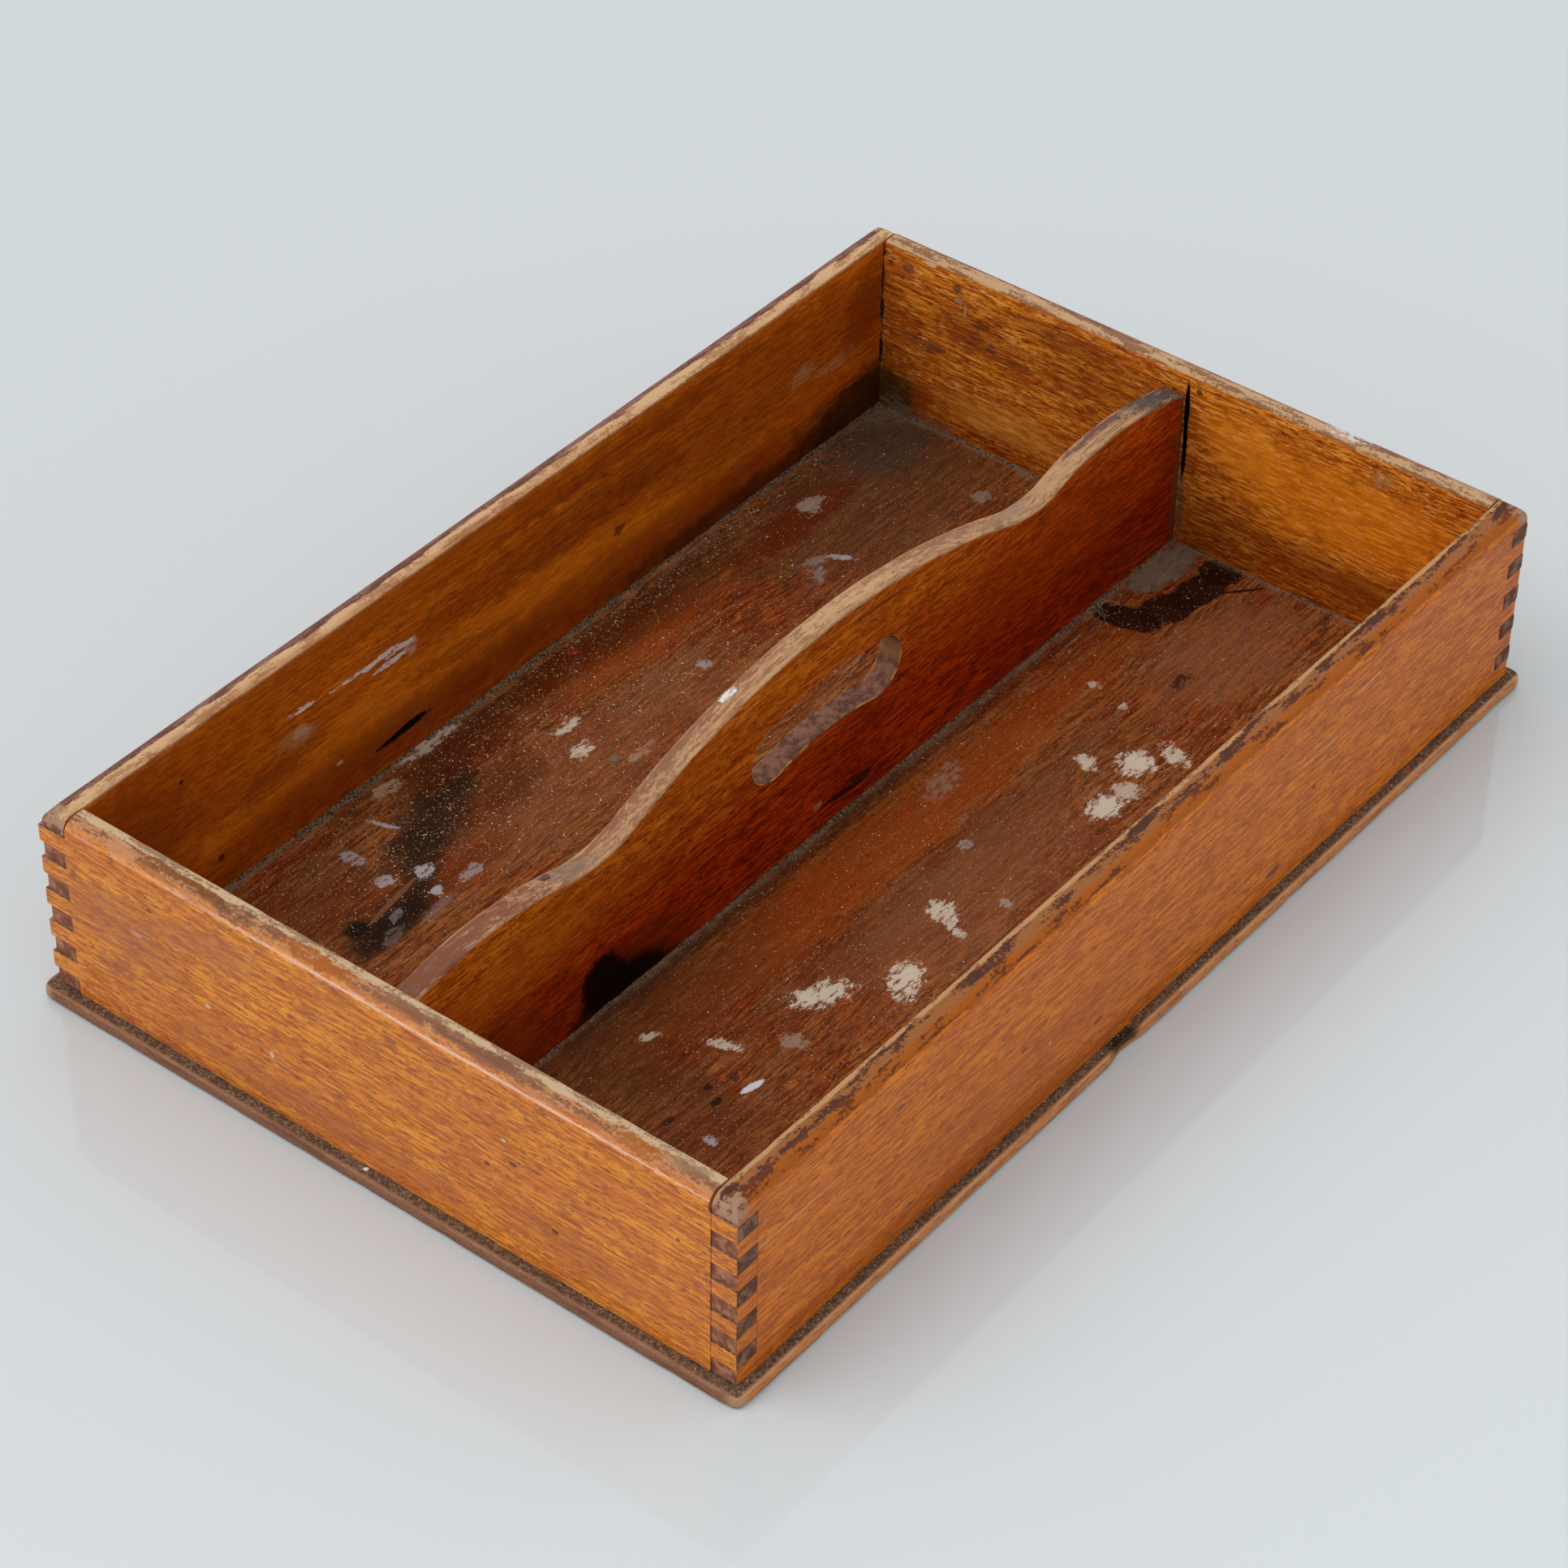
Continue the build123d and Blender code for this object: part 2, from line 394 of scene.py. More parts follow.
class Surface(Graph):
    """The graph of one material, with the shared groups and the box's planes at hand."""

    def __init__(self, name: str, effects: Effects | None = None, layout: Layout | None = None) -> None:
        """Starts an empty material.

        Args:
            name: The material's name.
            effects: The shared groups.
            layout: The box's planes.
        """
        self.material = bpy.data.materials.new(name)
        self.material.use_nodes = True
        self.material.node_tree.nodes.clear()
        super().__init__(self.material.node_tree)
        self.effects, self.layout = effects, layout
        places = self.node("TexCoord").outputs
        self.vector, self.normal = places["Object"], places["Normal"]

    def stored(self, name: str) -> Socket:
        """Reads a number that the mesh stores."""
        return self.node("Attribute", attribute_name=name).outputs["Fac"]

    def specks(self, scale: float, size: float, amount: float, vector: Socket | None = None) -> Socket:
        """Scatters specks: how many per metre, how large and how many of them are there, both as shares."""
        inputs = {"Vector": vector or self.vector, "Scale": scale, "Size": size, "Amount": amount}
        return self.group(self.effects.speck, **inputs)[0]

    def zone(self, distance: Socket, border: float, soft: float, waver: float, ragged: Socket) -> Socket:
        """Masks what lies nearer than a border, which is soft and wavers with a noise; all in millimetres."""
        inputs = {"Border": border * MM, "Soft": soft * MM, "Waver": waver * MM}
        return self.group(self.effects.zone, Distance=distance, Noise=ragged, **inputs)[0]

    def principled(self, **inputs: object) -> None:
        """Closes the material with a Principled shader, whose inputs have an underscore for a space."""
        named = {name.replace("_", " "): value for name, value in inputs.items()}
        shader = self.node("BsdfPrincipled", named)
        self.node("OutputMaterial", {"Surface": shader.outputs[0]})

    def bump(self, height: Socket, depth: float) -> Socket:
        """Turns a height into a normal; the depth, in millimetres, is what a height of 1 stands for."""
        return self.node("Bump", {"Height": height, "Distance": depth * MM}).outputs[0]

    def close(
        self, colour: Socket, roughness: object, height: Socket, depth: float, coat: object = 0.0
    ) -> None:
        """Closes the material as wood or dirt.

        Args:
            colour: Base colour.
            roughness: Roughness.
            height: Bump height, about 0 to 1.
            depth: What a height of 1 stands for, mm.
            coat: Weight of the varnish coat.
        """
        inputs = {"Specular IOR Level": BARE_GLOSS, "Coat Weight": coat, "Coat Roughness": 0.28}
        self.principled(Base_Color=colour, Roughness=roughness, Normal=self.bump(height, depth), **inputs)


class Marking:
    """Lays marks over a colour in one material."""

    def __init__(self, graph: Surface, squash: Point = (1, 1, 1)) -> None:
        """Prepares the noises that break the outlines.

        Args:
            graph: The material's graph.
            squash: Scale of the splashes' noise along each axis.
        """
        self.graph, vector = graph, graph.vector
        self.noises = {
            Outline.SOAKED: graph.noise(vector, 130.0, 4.0, 0.65),
            Outline.CRISP: graph.noise(vector, 700.0),
            Outline.SPLASHED: graph.noise(graph.place(vector, squash), 470.0, 6.0, 0.8),
            Outline.CLEAN: graph.noise(vector, 260.0),
        }
        drawn = graph.noise(graph.place(vector, tuple(s * s for s in squash)), 560.0, 5.0, 0.72)
        self.gaps = graph.step(drawn, 0.385, 0.475)

    def lay(self, marks: Iterable[Mark], colour: Socket) -> Socket:
        """Lays marks over a colour, one after another.

        Args:
            marks: The marks.
            colour: The colour below.

        Returns:
            The marked colour.
        """
        graph = self.graph
        for mark in marks:
            turn = [0.0, 0.0, 0.0]
            turn[mark.axis] = math.radians(mark.turn)
            inputs = {"Vector": graph.vector, "Turn": turn, "Noise": self.noises[mark.outline]}
            inputs["Centre"] = [place * MM for place in mark.centre]
            inputs["Reach"] = [reach * MM for reach in mark.reach]
            inputs["Ragged"], inputs["Soft"] = mark.outline.value
            mask = graph.group(graph.effects.blot, **inputs)[0]
            if mark.outline is Outline.SPLASHED:
                mask = graph.times(mask, self.gaps)
            colour = graph.cover(colour, mask, mark.strength, mark.colour)
        return colour


@dataclass(frozen=True)
class Wood:
    """Colours of a stained beech face, and how strong its patches and pores are."""

    light: Colour  # between the grain lines
    dark: Colour  # in the grain lines
    cloud: Colour  # broad darker areas
    patch: Colour  # small mottled patches
    gleam: Colour  # bright streaks
    pore: Colour
    clouding: float = 0.65
    patching: float = 0.65
    gleaming: float = 0.6
    poring: float = 0.8

    def colour(self, graph: Graph, grain: Sequence[Socket]) -> Socket:
        """Mixes the wood's colour.

        Args:
            graph: The material's graph.
            grain: The grain group's outputs.

        Returns:
            The colour.
        """
        colour = graph.mix(grain["Line"], self.light, self.dark)
        colour = graph.cover(colour, grain["Cloud"], self.clouding, self.cloud)
        colour = graph.cover(colour, grain["Patch"], self.patching, self.patch)
        colour = graph.cover(colour, grain["Gleam"], self.gleaming, self.gleam)
        return graph.cover(colour, grain["Pore"], self.poring, self.pore)


@dataclass(frozen=True)
class RimZone:
    """One band along a worn rim, from the inner arris out to its end."""

    end: float  # mm
    light: Colour
    dark: Colour
    share: float = 0.5  # of the dark colour
    strength: float = 0.9
    soft: float = 0.5  # mm


# ---- Finishes ---------------------------------------------------------------------------------------------


@dataclass(frozen=True)
class Finish:
    """What all finishes share: a name, and a material made by the finish's own paint method."""

    name: str

    def build(self, effects: Effects, layout: Layout) -> Material:
        """Builds the material.

        Args:
            effects: The shared groups.
            layout: The box's planes.

        Returns:
            The material.
        """
        graph = Surface(self.name, effects, layout)
        self.paint(graph)
        return graph.material


@dataclass(frozen=True)
class BoardFinish(Finish):
    """Stained and varnished beech wall board, bright outside, darker inside with painted shade low down, worn
    along the rim.
    """

    grain: Axis
    outside: Wood
    inside: Wood
    matt_rim: float  # width of the rim that has lost its varnish, mm
    rim: tuple[RimZone, ...]  # the outermost first
    marks: tuple[Mark, ...]
    low_inside_shade: Colour = (0.6, 0.45, 0.3)  # painted shade low down inside, multiplied in
    crumbs: Colour = (0.34, 0.22, 0.13)  # dust on the fingers' tops
    crumbs_dark: Colour = (0.1, 0.05, 0.03)
    bruise: Colour = (0.2, 0.055, 0.035)  # small dark dents
    fleck: Colour = (0.62, 0.44, 0.3)  # tiny pale specks
    roughness: float = 0.45
    coat: float = 0.2

    def paint(self, graph: Surface) -> None:
        """Draws the material's nodes.

        Args:
            graph: The material's graph.
        """
        vector = graph.vector
        along = graph.place(vector, turn=math.radians(90.0 * self.grain.value))
        grain = graph.group(graph.effects.grain, Vector=along)
        crest = graph.stored("crest")
        coarse = graph.noise(vector, 110.0, 4.0)
        fine = graph.noise(vector, 900.0)
        drawn = graph.drawn(along, (70, 330, 330))

        is_inside = graph.step(crest, -0.3 * MM, -1.4 * MM)
        # painted shade: the inner faces darken towards the floor
        low = graph.step(graph.minus(graph.times(coarse, 40.0 * MM), crest), 60.0 * MM, 98.0 * MM)
        inner = graph.mix(low, self.inside.colour(graph, grain), self.low_inside_shade, "MULTIPLY")
        bruises = graph.specks(270.0, 0.18, 0.3, graph.place(along, (0.35, 1, 1)))
        outer = graph.cover(self.outside.colour(graph, grain), bruises, 0.6, self.bruise)
        colour = graph.mix(is_inside, outer, inner)
        colour = graph.cover(colour, graph.specks(330.0, 0.08, 0.12), 0.55, self.fleck)
        colour = self._rim(graph, colour, crest, drawn, fine)
        tops = graph.step(graph.split(graph.normal)[2], 0.5, 0.9)
        dust = graph.mix(graph.step(fine, 0.42, 0.6), self.crumbs, self.crumbs_dark)
        colour = graph.cover(colour, tops, graph.step(crest, 11.0 * MM, 13.0 * MM), dust)
        squash = (1, 0.5, 1) if self.grain is Axis.WIDTH else (0.5, 1, 1)
        colour = Marking(graph, squash).lay(self.marks, colour)

        away = graph.size(crest)
        worn = graph.step(away, 4.0 * MM, 2.0 * MM)
        varied = graph.plus(self.roughness - 0.1, graph.times(drawn, 0.2))
        roughness = graph.plus(varied, graph.times(worn, 0.25), clamp=True)
        matt = graph.step(away, (self.matt_rim + 1.0) * MM, (self.matt_rim - 1.0) * MM)
        coat = graph.times(graph.minus(1.0, graph.math("MAXIMUM", is_inside, matt)), self.coat)
        height = graph.plus(grain["Height"], graph.times(fine, 0.6))
        graph.close(colour, roughness, height, depth=0.16, coat=coat)

    def _rim(self, graph: Surface, colour: Socket, crest: Socket, drawn: Socket, fine: Socket) -> Socket:
        """Lays the rim's worn zones over the board's colour.

        Args:
            graph: The material's graph.
            colour: The board's colour.
            crest: Distance from the inner arris, negative down the inner face.
            drawn: A noise drawn out along the grain.
            fine: A fine noise.

        Returns:
            The colour with its rim.
        """
        outside = graph.step(crest, -1.0 * MM, -0.2 * MM)
        broken = graph.plus(graph.times(drawn, 0.7), graph.times(fine, 0.3))
        for zone in self.rim:
            mask = graph.zone(crest, zone.end, zone.soft, 3.0 + zone.soft * 4.0, drawn)
            border = 0.5 + 0.2 * (0.5 - zone.share)
            shade = graph.mix(graph.step(broken, border - 0.03, border + 0.04), zone.light, zone.dark)
            colour = graph.cover(colour, graph.times(mask, outside), zone.strength, shade)
        return colour


@dataclass(frozen=True)
class EndGrainFinish(Finish):
    """The sawn end of a board in the finger joint: dark with soaked-in stain, its top finger worn paler."""

    dark: Colour
    light: Colour
    worn: Colour

    def paint(self, graph: Surface) -> None:
        """Draws the material's nodes.

        Args:
            graph: The material's graph.
        """
        coarse = graph.noise(graph.vector, 260.0)
        fine = graph.noise(graph.vector, 1800.0, 2.0)
        colour = graph.mix(graph.step(coarse, 0.4, 0.68), self.dark, self.light)
        colour = graph.cover(colour, graph.step(fine, 0.5, 0.75), 0.45, self.light)
        waver = graph.times(graph.minus(coarse, 0.5), 4.0 * MM)
        raised = graph.plus(graph.split(graph.vector)[2], waver)
        start = graph.layout.rim - graph.layout.finger
        worn = graph.mix(graph.step(coarse, 0.5, 0.62), self.worn, self.dark)
        colour = graph.cover(colour, graph.step(raised, start - 0.6 * MM, start + 0.8 * MM), 0.9, worn)
        graph.close(colour, 0.6, fine, depth=0.15)


@dataclass(frozen=True)
class DividerFinish(Finish):
    """Stained beech divider: amber above, deep red-brown below, its top edge worn bare by hands."""

    high: Wood
    low: Wood
    bare: Colour
    core: Colour  # browner streaks along the top edge
    arris: Colour  # along both sides of the top edge
    grimy: Colour  # at the low ends of the top edge
    marks: tuple[Mark, ...]
    top_marks: tuple[Mark, ...]

    def paint(self, graph: Surface) -> None:
        """Draws the material's nodes.

        Args:
            graph: The material's graph.
        """
        vector = graph.vector
        grain = graph.group(graph.effects.grain, Vector=vector)
        x, _, z = graph.split(vector)
        fine = graph.noise(vector, 800.0)
        along = graph.drawn(vector, (45, 300, 300))

        rise = graph.plus(graph.minus(z, graph.times(x, 0.1)), graph.times(along, 30.0 * MM))
        low, high = self.low.colour(graph, grain), self.high.colour(graph, grain)
        colour = graph.mix(graph.step(rise, 44.0 * MM, 96.0 * MM), low, high)
        marking = Marking(graph, (0.5, 1, 1))
        colour = marking.lay(self.marks, colour)

        streak = graph.drawn(vector, (75, 900, 900), 5.0, 0.75, (2.7, 0.3, 1.1))
        top = graph.mix(graph.step(streak, 0.43, 0.56), self.bare, self.core)
        top = graph.cover(top, graph.step(fine, 0.48, 0.64), 0.4, self.core)
        top = graph.cover(top, graph.step(graph.size(x), 160.0 * MM, 180.0 * MM), 0.8, self.grimy)
        top = marking.lay(self.top_marks, top)
        sides = graph.step(graph.size(graph.stored("across")), 2.9 * MM, 3.6 * MM)
        top = graph.cover(top, sides, graph.step(along, 0.44, 0.64), self.arris)
        edge = graph.zone(graph.stored("crest"), 1.0, 0.25, 2.0, along)
        colour = graph.mix(edge, colour, top)
        roughness = graph.plus(0.42, graph.times(edge, 0.25))
        height = graph.plus(grain["Height"], graph.times(fine, 0.6))
        graph.close(colour, roughness, height, depth=0.14, coat=0.06)


@dataclass(frozen=True)
class SlotFinish(Finish):
    """The wall of the hand slot: unvarnished, pale brown, with grey-purple dust on its sill and painted shade
    under its roof.
    """

    wood: Colour
    dust: Colour
    # darker dust on the sill, and the painted shade under the roof
    dark_dust_and_shade: Colour
    raw: Colour

    def paint(self, graph: Surface) -> None:
        """Draws the material's nodes.

        Args:
            graph: The material's graph.
        """
        upward = graph.split(graph.normal)[2]
        fine = graph.noise(graph.vector, 1500.0, 2.0)
        coarse = graph.noise(graph.vector, 300.0)
        colour = graph.mix(graph.step(coarse, 0.5, 0.75), self.wood, self.dust)
        dusty = graph.mix(graph.step(coarse, 0.38, 0.62), self.dust, self.dark_dust_and_shade)
        dusty = graph.cover(dusty, graph.step(fine, 0.5, 0.7), 0.35, self.wood)
        colour = graph.mix(graph.step(upward, 0.1, 0.5), colour, dusty)
        # painted shade: faces that look down, under the slot's roof, are darkened
        colour = graph.cover(colour, graph.step(upward, -0.2, -0.8), 0.85, self.dark_dust_and_shade)
        arris = graph.step(graph.size(graph.stored("across")), 3.75 * MM, 3.95 * MM)
        broken = graph.step(graph.noise(graph.vector, 160.0), 0.46, 0.58)
        colour = graph.cover(colour, graph.times(arris, broken), 0.8, self.raw)
        graph.close(colour, 0.75, fine, depth=0.12)


@dataclass(frozen=True)
class FloorFinish(Finish):
    """The floor of one compartment: brown, dusty, speckled, stained with ink and splashed with paint, with
    painted glints on an ink smear.
    """

    stains: tuple[Mark, ...]
    paint_and_glint_marks: tuple[Mark, ...]
    brown: Wood
    red: Wood
    dusty: Colour = (0.34, 0.16, 0.075)
    grit: Colour = (0.25, 0.175, 0.11)
    speck: Colour = (0.6, 0.4, 0.23)
    dark_speck: Colour = (0.03, 0.01, 0.006)

    def paint(self, graph: Surface) -> None:
        """Draws the material's nodes.

        Args:
            graph: The material's graph.
        """
        vector, layout = graph.vector, graph.layout
        grain = graph.group(graph.effects.grain, Vector=vector)
        coarse = graph.noise(vector, 90.0, 4.0)
        fine = graph.noise(vector, 1100.0, 4.0, 0.7)
        sandy = graph.noise(vector, 2600.0, 1.0, 0.5)
        broad = graph.drawn(vector, (13, 50, 50), shift=(0.3, 0.8, 0.1))
        patchy = graph.drawn(vector, (20, 55, 55), shift=(4.1, 2.2, 0.5))
        wiped = graph.drawn(vector, (45, 520, 520), 5.0, 0.7, (2.2, 6.1, 0.7))

        woods = self.brown.colour(graph, grain), self.red.colour(graph, grain)
        colour = graph.mix(graph.step(patchy, 0.42, 0.6), *woods)
        film = graph.times(graph.step(wiped, 0.46, 0.62), graph.step(broad, 0.36, 0.6))
        film = graph.times(film, graph.step(fine, 0.36, 0.62))
        colour = graph.cover(colour, film, 0.7, self.dusty)
        marking = Marking(graph, (0.6, 1, 1))
        colour = marking.lay(self.stains, colour)

        x, y = (graph.size(place) for place in graph.split(vector)[:2])
        wall_y, wall_x = graph.minus(layout.inner_y, y), graph.minus(layout.inner_x, x)
        nearest = graph.math("MINIMUM", wall_y, wall_x)
        crevice = graph.math("MINIMUM", nearest, graph.minus(y, layout.divider_half))
        drift = graph.zone(crevice, 1.6, 2.4, 8.0, coarse)
        corner = graph.plus(graph.times(wall_y, 1.2), graph.times(wall_x, 0.8))
        heap = graph.zone(corner, 16.0, 9.0, 14.0, coarse)
        drift = graph.math("MAXIMUM", drift, graph.times(heap, 0.7))
        drift = graph.times(drift, graph.step(fine, 0.3, 0.62))
        colour = graph.mix(drift, colour, self.grit)

        light = graph.specks(900.0, 0.26, 0.16)
        colour = graph.cover(colour, graph.specks(1300.0, 0.3, 0.3), graph.times(patchy, 1.1), self.speck)
        colour = graph.cover(colour, light, 0.55, self.speck)
        colour = graph.cover(colour, graph.specks(420.0, 0.2, 0.12), 0.7, self.dark_speck)
        colour = marking.lay(self.paint_and_glint_marks, colour)
        roughness = graph.plus(0.5, graph.times(graph.math("MAXIMUM", film, drift), 0.35))
        height = graph.plus(graph.times(fine, 0.8), graph.times(sandy, drift))
        graph.close(colour, roughness, graph.plus(height, graph.times(light, 0.7)), depth=0.22)


@dataclass(frozen=True)
class LedgeFinish(Finish):
    """The base board's ledge and edges: dusty dark top, worn edges."""

    top: Colour
    grain_dust: Colour
    front: Colour
    side: Colour
    worn: Colour
    fleck: Colour
    marks: tuple[Mark, ...]

    def paint(self, graph: Surface) -> None:
        """Draws the material's nodes.

        Args:
            graph: The material's graph.
        """
        vector, layout = graph.vector, graph.layout
        grain = graph.group(graph.effects.grain, Vector=vector)
        x, y, z = graph.split(vector)
        coarse = graph.noise(vector, 150.0, 4.0)
        fine = graph.noise(vector, 1100.0, 3.0, 0.65)
        along = graph.drawn(vector, (45, 45, 500), 3.0, 0.6)
        out_x, out_y = graph.minus(layout.base_x, graph.size(x)), graph.minus(layout.base_y, graph.size(y))
        on_side = graph.step(graph.minus(out_x, out_y), -1.0 * MM, 3.0 * MM)
        edge = graph.mix(on_side, self.front, self.side)
        edge = graph.cover(edge, graph.step(along, 0.45, 0.65), 0.7, self.fleck, "MULTIPLY")
        edge = graph.cover(edge, grain["Pore"], 0.8, self.fleck, "MULTIPLY")
        distance = graph.math("MINIMUM", out_x, out_y)
        near_arris = graph.plus(graph.size(graph.minus(distance, 0.7 * MM)), graph.minus(layout.floor, z))
        pale = graph.zone(near_arris, 0.7, 0.5, 1.6, coarse)
        edge = graph.cover(edge, pale, graph.plus(0.25, graph.times(on_side, 0.5)), self.worn)
        corner = graph.step(graph.plus(out_x, out_y), 7.0 * MM, 2.5 * MM)
        edge = graph.cover(edge, corner, 0.7, self.worn)
        dust = graph.mix(graph.step(fine, 0.42, 0.68), self.top, self.grain_dust)
        flat = graph.step(z, layout.floor - 0.7 * MM, layout.floor - 0.15 * MM)
        colour = graph.cover(edge, graph.step(distance, 0.7 * MM, 2.0 * MM), flat, dust)
        colour = Marking(graph).lay(self.marks, colour)
        graph.close(colour, 0.62, graph.plus(fine, along), depth=0.2)


@dataclass(frozen=True)
class UndersideFinish(Finish):
    """Plain unvarnished underside with grey scuffs."""

    wood: Wood
    scuff: Colour

    def paint(self, graph: Surface) -> None:
        """Draws the material's nodes.

        Args:
            graph: The material's graph.
        """
        grain = graph.group(graph.effects.grain, Vector=graph.vector)
        coarse = graph.noise(graph.vector, 45.0, 5.0)
        colour = graph.cover(self.wood.colour(graph, grain), graph.step(coarse, 0.45, 0.7), 0.6, self.scuff)
        graph.close(colour, 0.75, grain["Height"], depth=0.15)


@dataclass(frozen=True)
class GritFinish(Finish):
    """Loose dirt: grey dust, wood crumbs or sawdust, varied from grain to grain."""

    dark: Colour
    light: Colour
    scale: float = 1400.0
    by_grain: bool = False  # colour by each grain's own tint

    def paint(self, graph: Surface) -> None:
        """Draws the material's nodes.

        Args:
            graph: The material's graph.
        """
        speckle = graph.noise(graph.vector, self.scale, 3.0, 0.7)
        factor = graph.stored("tint") if self.by_grain else graph.step(speckle, 0.38, 0.66)
        graph.close(graph.mix(factor, self.dark, self.light), 0.9, speckle, depth=0.3)


@dataclass(frozen=True)
class IronFinish(Finish):
    """Old rusted iron of the cut nails."""

    iron: Colour
    rust: Colour

    def paint(self, graph: Surface) -> None:
        """Draws the material's nodes.

        Args:
            graph: The material's graph.
        """
        pits = graph.noise(graph.vector, 1800.0, 4.0, 0.65)
        rusty = graph.step(pits, 0.4, 0.6)
        colour, metal = graph.mix(rusty, self.iron, self.rust), graph.minus(0.8, graph.times(rusty, 0.7))
        normal = graph.bump(pits, depth=0.15)
        graph.principled(Base_Color=colour, Roughness=0.7, Metallic=metal, Normal=normal)


# ---- Mesh helpers -----------------------------------------------------------------------------------------


def block(bm: Mesh, low: Point, high: Point) -> None:
    """Adds an upright block.

    Args:
        bm: The mesh.
        low: Lowest corner.
        high: Highest corner.
    """
    low, high = Vector(low), Vector(high)
    matrix = Matrix.Translation((low + high) / 2) @ Matrix.Diagonal((*(high - low), 1.0))
    bmesh.ops.create_cube(bm, size=1.0, matrix=matrix)


def saw(bm: Mesh, axis: int, stations: Iterable[float]) -> None:
    """Cuts the mesh's faces at planes square to one axis.

    Args:
        bm: The mesh.
        axis: 0, 1 or 2.
        stations: Where the planes stand.
    """
    normal = Vector([float(axis == i) for i in range(3)])
    for station in stations:
        everything = bm.verts[:] + bm.edges[:] + bm.faces[:]
        bmesh.ops.bisect_plane(bm, geom=everything, dist=1e-7, plane_co=normal * station, plane_no=normal)


def round_edges(bm: Mesh, edges: Iterable, radius: float, segments: int) -> None:
    """Rounds edges over.

    Args:
        bm: The mesh.
        edges: The edges, of which some may be gone.
        radius: Radius of the rounding.
        segments: Faces across it.
    """
    bmesh.ops.bevel(
        bm,
        geom=[e for e in edges if e.is_valid],
        offset=radius,
        offset_type="OFFSET",
        affect="EDGES",
        segments=segments,
        profile=0.5,
        material=-1,
        clamp_overlap=True,
    )


def stretch_out(bm: Mesh, faces: list) -> list:
    """Extrudes a patch of faces, deletes the old ones and gives the new vertices.

    Args:
        bm: The mesh.
        faces: The patch.

    Returns:
        The new vertices.
    """
    grown = bmesh.ops.extrude_face_region(bm, geom=faces)["geom"]
    bmesh.ops.delete(bm, geom=[f for f in faces if f.is_valid], context="FACES")
    return [g for g in grown if isinstance(g, bmesh.types.BMVert)]


def edge_along(edge: bmesh.types.BMEdge, axis: int) -> bool:
    """Tells whether an edge runs along one axis."""
    span = edge.verts[1].co - edge.verts[0].co
    return abs(span[axis]) > 0.999 * span.length


def near(value: float, target: float, slack: float = 1e-5) -> bool:
    """Tells whether a coordinate lies on a plane."""
    return abs(value - target) < slack


def rough(place: Vector, scale: float, seed: float) -> float:
    """Gives smooth seeded noise from about -1 to 1, with a scale in lumps per metre."""
    return noise.noise(Vector((place.x * scale + seed, place.y * scale - seed, place.z * scale + 2.0 * seed)))


def link(name: str, data: bpy.types.ID) -> Piece:
    """Puts a mesh, curve, lamp or camera into the scene as an object.

    Args:
        name: The object's name.
        data: What it shows.

    Returns:
        The object.
    """
    piece = bpy.data.objects.new(name, data)
    bpy.context.scene.collection.objects.link(piece)
    return piece


def store(name: str, bm: Mesh, materials: Sequence[Material] = ()) -> bpy.types.Mesh:
    """Turns a bmesh, which is freed, into a mesh.

    Args:
        name: The mesh's name.
        bm: The bmesh.
        materials: Its materials, in slot order.

    Returns:
        The mesh.
    """
    mesh = bpy.data.meshes.new(name)
    bm.to_mesh(mesh)
    bm.free()
    for material in materials:
        mesh.materials.append(material)
    return mesh


def pour(source: Mesh, target: Mesh) -> None:
    """Adds one bmesh, which is freed, to another.

    Args:
        source: The bmesh that is added.
        target: The bmesh that it is added to.
    """
    mesh = store("poured", source)
    target.from_mesh(mesh)
    bpy.data.meshes.remove(mesh)


def finish_mesh(
    name: str,
    bm: Mesh,
    materials: Sequence[Material],
    replaces: Sequence[str] = (),
    crease: float = 32.0,
) -> None:
    """Turns a bmesh into a piece that rides on the box.

    Args:
        name: The piece's name.
        bm: The mesh, which is freed.
        materials: Its materials, in slot order.
        replaces: CAD nodes that it stands for.
        crease: Angle above which an edge stays sharp, degrees.
    """
    bmesh.ops.recalc_face_normals(bm, faces=bm.faces[:])
    mesh = store(name, bm, materials)
    mesh.polygons.foreach_set("use_smooth", [True] * len(mesh.polygons))
    mesh.set_sharp_from_angle(angle=math.radians(crease))
    piece = link(name, mesh)
    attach(piece, "root")
    if replaces:
        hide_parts(*replaces)
    LOG.info("%s: %d faces", name, len(mesh.polygons))


# ---- Walls ------------------------------------------------------------------------------------------------


